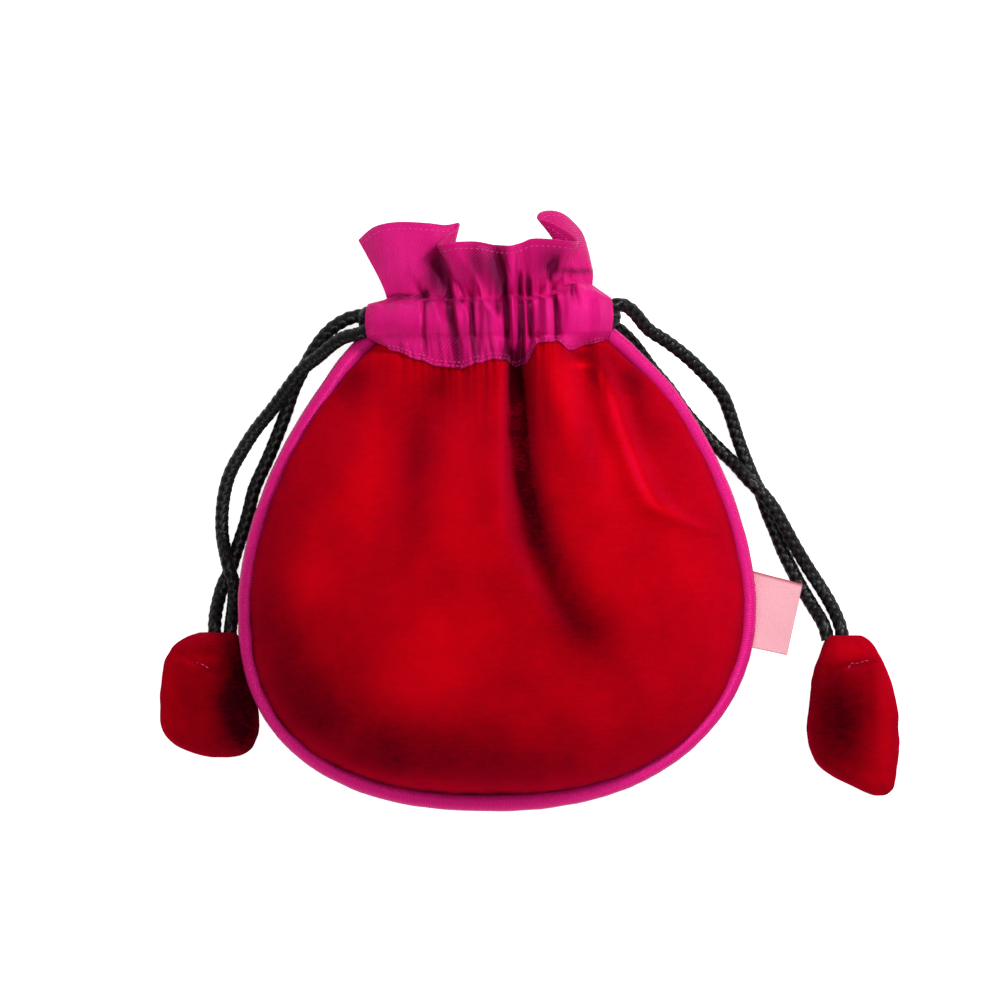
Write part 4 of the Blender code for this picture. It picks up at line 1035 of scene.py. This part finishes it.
def addStitches(name, lines, thread, pitch, share, radius):
    # A short rounded thread along each stitch of each line of points
    form = bmesh.new()
    sides = 6
    for line, normals in lines:
        marks = lengthMarks(line)
        for stitch in range(int(marks[-1] / pitch)):
            rings = []
            for step in range(5):
                mark = (stitch + share * step / 4) * pitch
                spot, normal = threadPlace(line, normals, marks, mark)
                tangent = threadPlace(line, normals, marks, mark + 0.1 * mm)[0] - spot
                if tangent.length < 1e-7:
                    tangent = Vector((1, 0, 0))
                tangent.normalize()
                other = tangent.cross(normal).normalized()
                up = other.cross(tangent)
                thick = radius * (0.45, 0.9, 1.0, 0.9, 0.45)[step]
                sink = (-0.55, 0.1, 0.35, 0.1, -0.55)[step] * radius
                ring = []
                for side in range(sides):
                    turn = 2 * math.pi * side / sides
                    around = (other * math.cos(turn) + up * math.sin(turn)) * thick
                    ring.append(form.verts.new(spot + up * sink + around))
                rings.append(ring)
            for first, second in zip(rings, rings[1:]):
                for side in range(sides):
                    after = (side + 1) % sides
                    form.faces.new((first[side], first[after], second[after], second[side]))
            form.faces.new(rings[0][::-1])
            form.faces.new(rings[-1])
    mesh = bpy.data.meshes.new(name)
    form.to_mesh(mesh)
    form.free()
    return finishMesh(name, mesh, thread)


def lineAlong(rows, start, step, distance, side):
    # Points and outward normals at a distance along each column from one row of a grid
    line, normals = [], []
    for column in range(len(rows[0])):
        row, left = start, distance
        while True:
            length = (rows[row + step][column] - rows[row][column]).length
            if length >= left:
                break
            left -= length
            row += step
        spot = rows[row][column].lerp(rows[row + step][column], left / length)
        before, after = max(column - 1, 0), min(column + 1, len(rows[0]) - 1)
        along = rows[row][after] - rows[row][before]
        normal = along.cross((rows[row + step][column] - rows[row][column]) * step).normalized() * side
        line.append(spot)
        normals.append(normal)
    return line, normals


def topLine(rows, places):
    # Points of a stopper's upper side nearest to places in plan, in millimetres
    points = [point for row in rows for point in row if point.z > 0.007]
    line = [min(points, key=lambda point: (point.x / mm - x) ** 2 + (point.y / mm - y) ** 2) for x, y in places]
    return line, [Vector((0.0, 0.0, 1.0))] * len(line)


# Materials
def setSockets(tree, node, sockets):
    # Each socket gets its value, or a link from the output that is given for it
    for key, value in sockets.items():
        if isinstance(value, bpy.types.NodeSocket):
            tree.links.new(value, node.inputs[key])
        else:
            node.inputs[key].default_value = value


def addNode(tree, kind, sockets, **settings):
    node = tree.nodes.new("ShaderNode" + kind)
    for key, value in settings.items():
        setattr(node, key, value)
    setSockets(tree, node, sockets)
    return node


def calculate(tree, operation, *terms, clamp=False):
    return addNode(tree, "Math", dict(enumerate(terms)), operation=operation, use_clamp=clamp).outputs["Value"]


def blendColours(tree, share, first, second):
    return addNode(tree, "Mix", {0: share, 6: first, 7: second}, data_type="RGBA").outputs[2]


def rangeOf(tree, value, **limits):
    names = {"low": "From Min", "high": "From Max", "toLow": "To Min", "toHigh": "To Max"}
    sockets = {names[key]: limit for key, limit in limits.items()}
    return addNode(tree, "MapRange", {"Value": value, **sockets}).outputs["Result"]


def noiseOf(tree, vector, scale, detail=2.0):
    return addNode(tree, "TexNoise", {"Vector": vector, "Scale": scale, "Detail": detail}).outputs["Fac"]


def coordinate(tree, kind):
    return addNode(tree, "TexCoord", {}).outputs[kind]


def shadeOf(tree):
    return addNode(tree, "Attribute", {}, attribute_name="shade").outputs["Fac"]


def newGroup(name, inputs, outputs):
    group = bpy.data.node_groups.new(name, "ShaderNodeTree")
    for label, value in inputs.items():
        kind = "NodeSocketFloat" if isinstance(value, float) else "NodeSocketVector"
        socket = group.interface.new_socket(name=label, in_out="INPUT", socket_type=kind)
        if value is not None:
            socket.default_value = value
    for label, kind in outputs.items():
        group.interface.new_socket(name=label, in_out="OUTPUT", socket_type=kind)
    return group, group.nodes.new("NodeGroupInput").outputs, group.nodes.new("NodeGroupOutput")


def useGroup(tree, group, sockets):
    node = tree.nodes.new("ShaderNodeGroup")
    node.node_tree = group
    setSockets(tree, node, sockets)
    return node.outputs


def makeTwillGroup():
    # Fine woven lines with uneven threads; the vector is in millimetres along the cloth
    group, given, result = newGroup("twill", {"Vector": None, "Lines": 3.0, "Turn": (0.0, 0.0, 0.78), "Depth": 0.3},
                                    {"Normal": "NodeSocketVector", "Mask": "NodeSocketFloat"})
    turned = addNode(group, "VectorRotate", {"Vector": given["Vector"], "Rotation": given["Turn"]},
                     rotation_type="EULER_XYZ").outputs["Vector"]
    wave = addNode(group, "TexWave", {"Vector": turned, "Scale": given["Lines"], "Distortion": 0.9, "Detail": 2.0,
                                      "Detail Scale": 1.2}, wave_type="BANDS", bands_direction="X").outputs["Fac"]
    mask = calculate(group, "MULTIPLY_ADD", noiseOf(group, turned, 6.0, 3.0), 0.45, wave)
    bump = addNode(group, "Bump", {"Height": mask, "Strength": given["Depth"], "Distance": 0.00012})
    setSockets(group, result, {"Normal": bump.outputs["Normal"], "Mask": mask})
    return group


def makePileGroup():
    # Short pile of velvet: clumps and fine streaks across the cloth
    group, given, result = newGroup("pile", {"Vector": None, "Depth": 0.5},
                                    {"Normal": "NodeSocketVector", "Shade": "NodeSocketFloat"})
    stretch = addNode(group, "Mapping", {"Vector": given["Vector"], "Scale": (260.0, 2300.0, 900.0)})
    streaks = noiseOf(group, stretch.outputs["Vector"], 1.0)
    patches = noiseOf(group, given["Vector"], 120.0, 4.0)
    clumps = noiseOf(group, given["Vector"], 1100.0, 3.0)
    height = calculate(group, "MULTIPLY_ADD", streaks, 0.5, patches)
    uneven = calculate(group, "MULTIPLY_ADD", clumps, 0.5, height)
    bump = addNode(group, "Bump", {"Height": height, "Strength": given["Depth"], "Distance": 0.00025})
    setSockets(group, result, {"Normal": bump.outputs["Normal"],
                               "Shade": rangeOf(group, uneven, low=0.6, high=1.4, toLow=-0.11, toHigh=0.11)})
    return group


def newMaterial(name, roughness, specular, sheen=None, tints=()):
    # Sheen is its weight, roughness and colour; tints are further colours by socket
    material = bpy.data.materials.new(name)
    material.use_nodes = True
    tree = material.node_tree
    shader = tree.nodes["Principled BSDF"]
    setSockets(tree, shader, {"Roughness": roughness, "Specular IOR Level": specular, **dict(tints)})
    if sheen:
        setSockets(tree, shader, dict(zip(("Sheen Weight", "Sheen Roughness", "Sheen Tint"), sheen)))
    return material, tree, shader


def makeVelvet(name, pile, dark, light, edge):
    material, tree, shader = newMaterial(name, 0.85, 0.0, (0.12, 0.35, tone(255, 40, 90)))
    nap = useGroup(tree, pile, {"Vector": coordinate(tree, "Object"), "Depth": 0.5})
    share = calculate(tree, "ADD", shadeOf(tree), nap["Shade"])
    # Painted sheen: the edge colour where the view grazes lit pile, and a painted highlight where the shade value runs
    # above 0.9; the base colour runs from dark to light with the painted shade value and the pile
    facing = addNode(tree, "LayerWeight", {"Blend": 0.14}).outputs["Facing"]
    sheen = calculate(tree, "MINIMUM", facing, share)
    paintedSheen = calculate(tree, "MAXIMUM", sheen, rangeOf(tree, share, low=0.9, high=1.6))
    colour = blendColours(tree, paintedSheen, blendColours(tree, share, dark, light), edge)
    setSockets(tree, shader, {"Base Color": colour, "Normal": nap["Normal"]})
    return material


def makeSatin(name, twill, dark, light, lines, roughness, depth, angle=0.78, shadow=None):
    material, tree, shader = newMaterial(name, roughness, 0.7, (0.08, 0.35, tone(255, 60, 170)),
                                         {"Specular Tint": tone(255, 90, 190)})
    weave = useGroup(tree, twill, {"Vector": coordinate(tree, "UV"), "Lines": lines, "Depth": depth,
                                   "Turn": (0.0, 0.0, angle)})
    share = weave["Mask"]
    if shadow:
        share = calculate(tree, "MULTIPLY_ADD", share, 0.22, shadeOf(tree), clamp=True)
    colour = blendColours(tree, share, dark, light)
    if shadow:
        colour = blendColours(tree, rangeOf(tree, share, high=0.5), shadow, colour)
    setSockets(tree, shader, {"Base Color": colour, "Normal": weave["Normal"]})
    return material


def makeCordMaterial():
    material, tree, shader = newMaterial("blackBraid", 0.34, 0.22, (0.02, 0.5, (0.5, 0.5, 0.55, 1.0)))
    # Colour darker in the braid's grooves and lighter on its strands from the shade value: painted shade and
    # highlight, with fine random grain
    share = calculate(tree, "MULTIPLY_ADD", noiseOf(tree, coordinate(tree, "Object"), 2500.0), 0.7, shadeOf(tree))
    setSockets(tree, shader, {"Base Color": blendColours(tree, share, tone(2, 2, 2), tone(27, 27, 29))})
    return material


def makeLabelMaterial(twill):
    material, tree, shader = newMaterial("labelTape", 0.7, 0.25, (0.1, 0.5, white))
    weave = useGroup(tree, twill, {"Vector": coordinate(tree, "UV"), "Lines": 0.62, "Depth": 0.6})
    tape = blendColours(tree, weave["Mask"], tone(234, 146, 162), tone(252, 190, 202))
    setSockets(tree, shader, {"Base Color": blendColours(tree, shadeOf(tree), tape, tone(170, 20, 60)),
                              "Normal": weave["Normal"]})
    return material


def makeThread(name, colour):
    material, tree, shader = newMaterial(name, 0.6, 0.2)
    darker = tuple(value * 0.8 for value in colour[:3]) + (1.0,)
    grain = noiseOf(tree, coordinate(tree, "Object"), 3000.0)
    setSockets(tree, shader, {"Base Color": blendColours(tree, grain, darker, colour)})
    return material


print("camera, light and floor")
makeCamera()
makeLights()
makeWorld()
makeFloor()

print("materials")
twill = makeTwillGroup()
pile = makePileGroup()
# the last colour of each velvet is its painted sheen and highlight
velvet = makeVelvet("velvet", pile, tone(62, 0, 8), tone(214, 1, 18), tone(240, 14, 66))
stopperVelvet = makeVelvet("stopperVelvet", pile, tone(48, 0, 8), tone(196, 2, 18), tone(226, 14, 56))
neckSatin = makeSatin("neckSatin", twill, tone(142, 1, 54), tone(232, 22, 130), 0.6, 0.34, 0.7,
                      shadow=tone(20, 0, 8))
pipingSatin = makeSatin("pipingSatin", twill, tone(190, 6, 92), tone(244, 34, 140), 0.7, 0.36, 0.6, 1.45)
liningSatin = makeSatin("liningSatin", twill, tone(150, 4, 70), tone(180, 10, 92), 0.46, 0.5, 0.3)
blackBraid = makeCordMaterial()
labelTape = makeLabelMaterial(twill)
pinkThread = makeThread("pinkThread", tone(232, 74, 156))

print("cords")
makeCord("leftBraid", "left_drawcord", cordRoute(leftRunIn, leftRunOut, lane=1, end=1), blackBraid)
makeCord("rightBraid", "right_drawcord", cordRoute(rightRunIn, rightRunOut, lane=-1, end=-1), blackBraid)

print("panels and piping")
frontVelvet, backVelvet = makePanels(velvet)
makePiping(pipingSatin)
makeLining(liningSatin)

print("neck")
frontBand, frontRows = makeBand("satinBandFront", "front_neck_band", "front", neckSatin)
backBand, backRows = makeBand("satinBandBack", "back_neck_band", "back", neckSatin)

print("stoppers and label")
leftRows = makeStopper("leftStopper", "left_cord_stopper", leftStopper, stopperVelvet)
rightRows = makeStopper("rightStopper", "right_cord_stopper", rightStopper, stopperVelvet)
label = makeLabel(labelTape)

print("stitches")
hemRow = sum(bandSteps) + 1
for name, rows, side in (("front", frontRows, 1), ("back", backRows, -1)):
    hemLines = [lineAlong(rows, hemRow, -1, 2.1 * mm, side), lineAlong(rows, hemRow, 1, 2.3 * mm, side)]
    seamLines = [lineAlong(rows, 0, 1, distance, side) for distance in (0.6 * mm, 1.7 * mm)]
    hem = addStitches(name + "HemStitches", hemLines, pinkThread, pitch=1.5 * mm, share=0.62, radius=0.11 * mm)
    seam = addStitches(name + "SeamStitches", seamLines, pinkThread, pitch=1.3 * mm, share=0.62, radius=0.12 * mm)
stopperLines = [topLine(rightRows, rightStopper["stitches"]), topLine(leftRows, leftStopper["stitches"])]
addStitches("stopperStitches", stopperLines, pinkThread, pitch=1.4 * mm, share=0.8, radius=0.12 * mm)
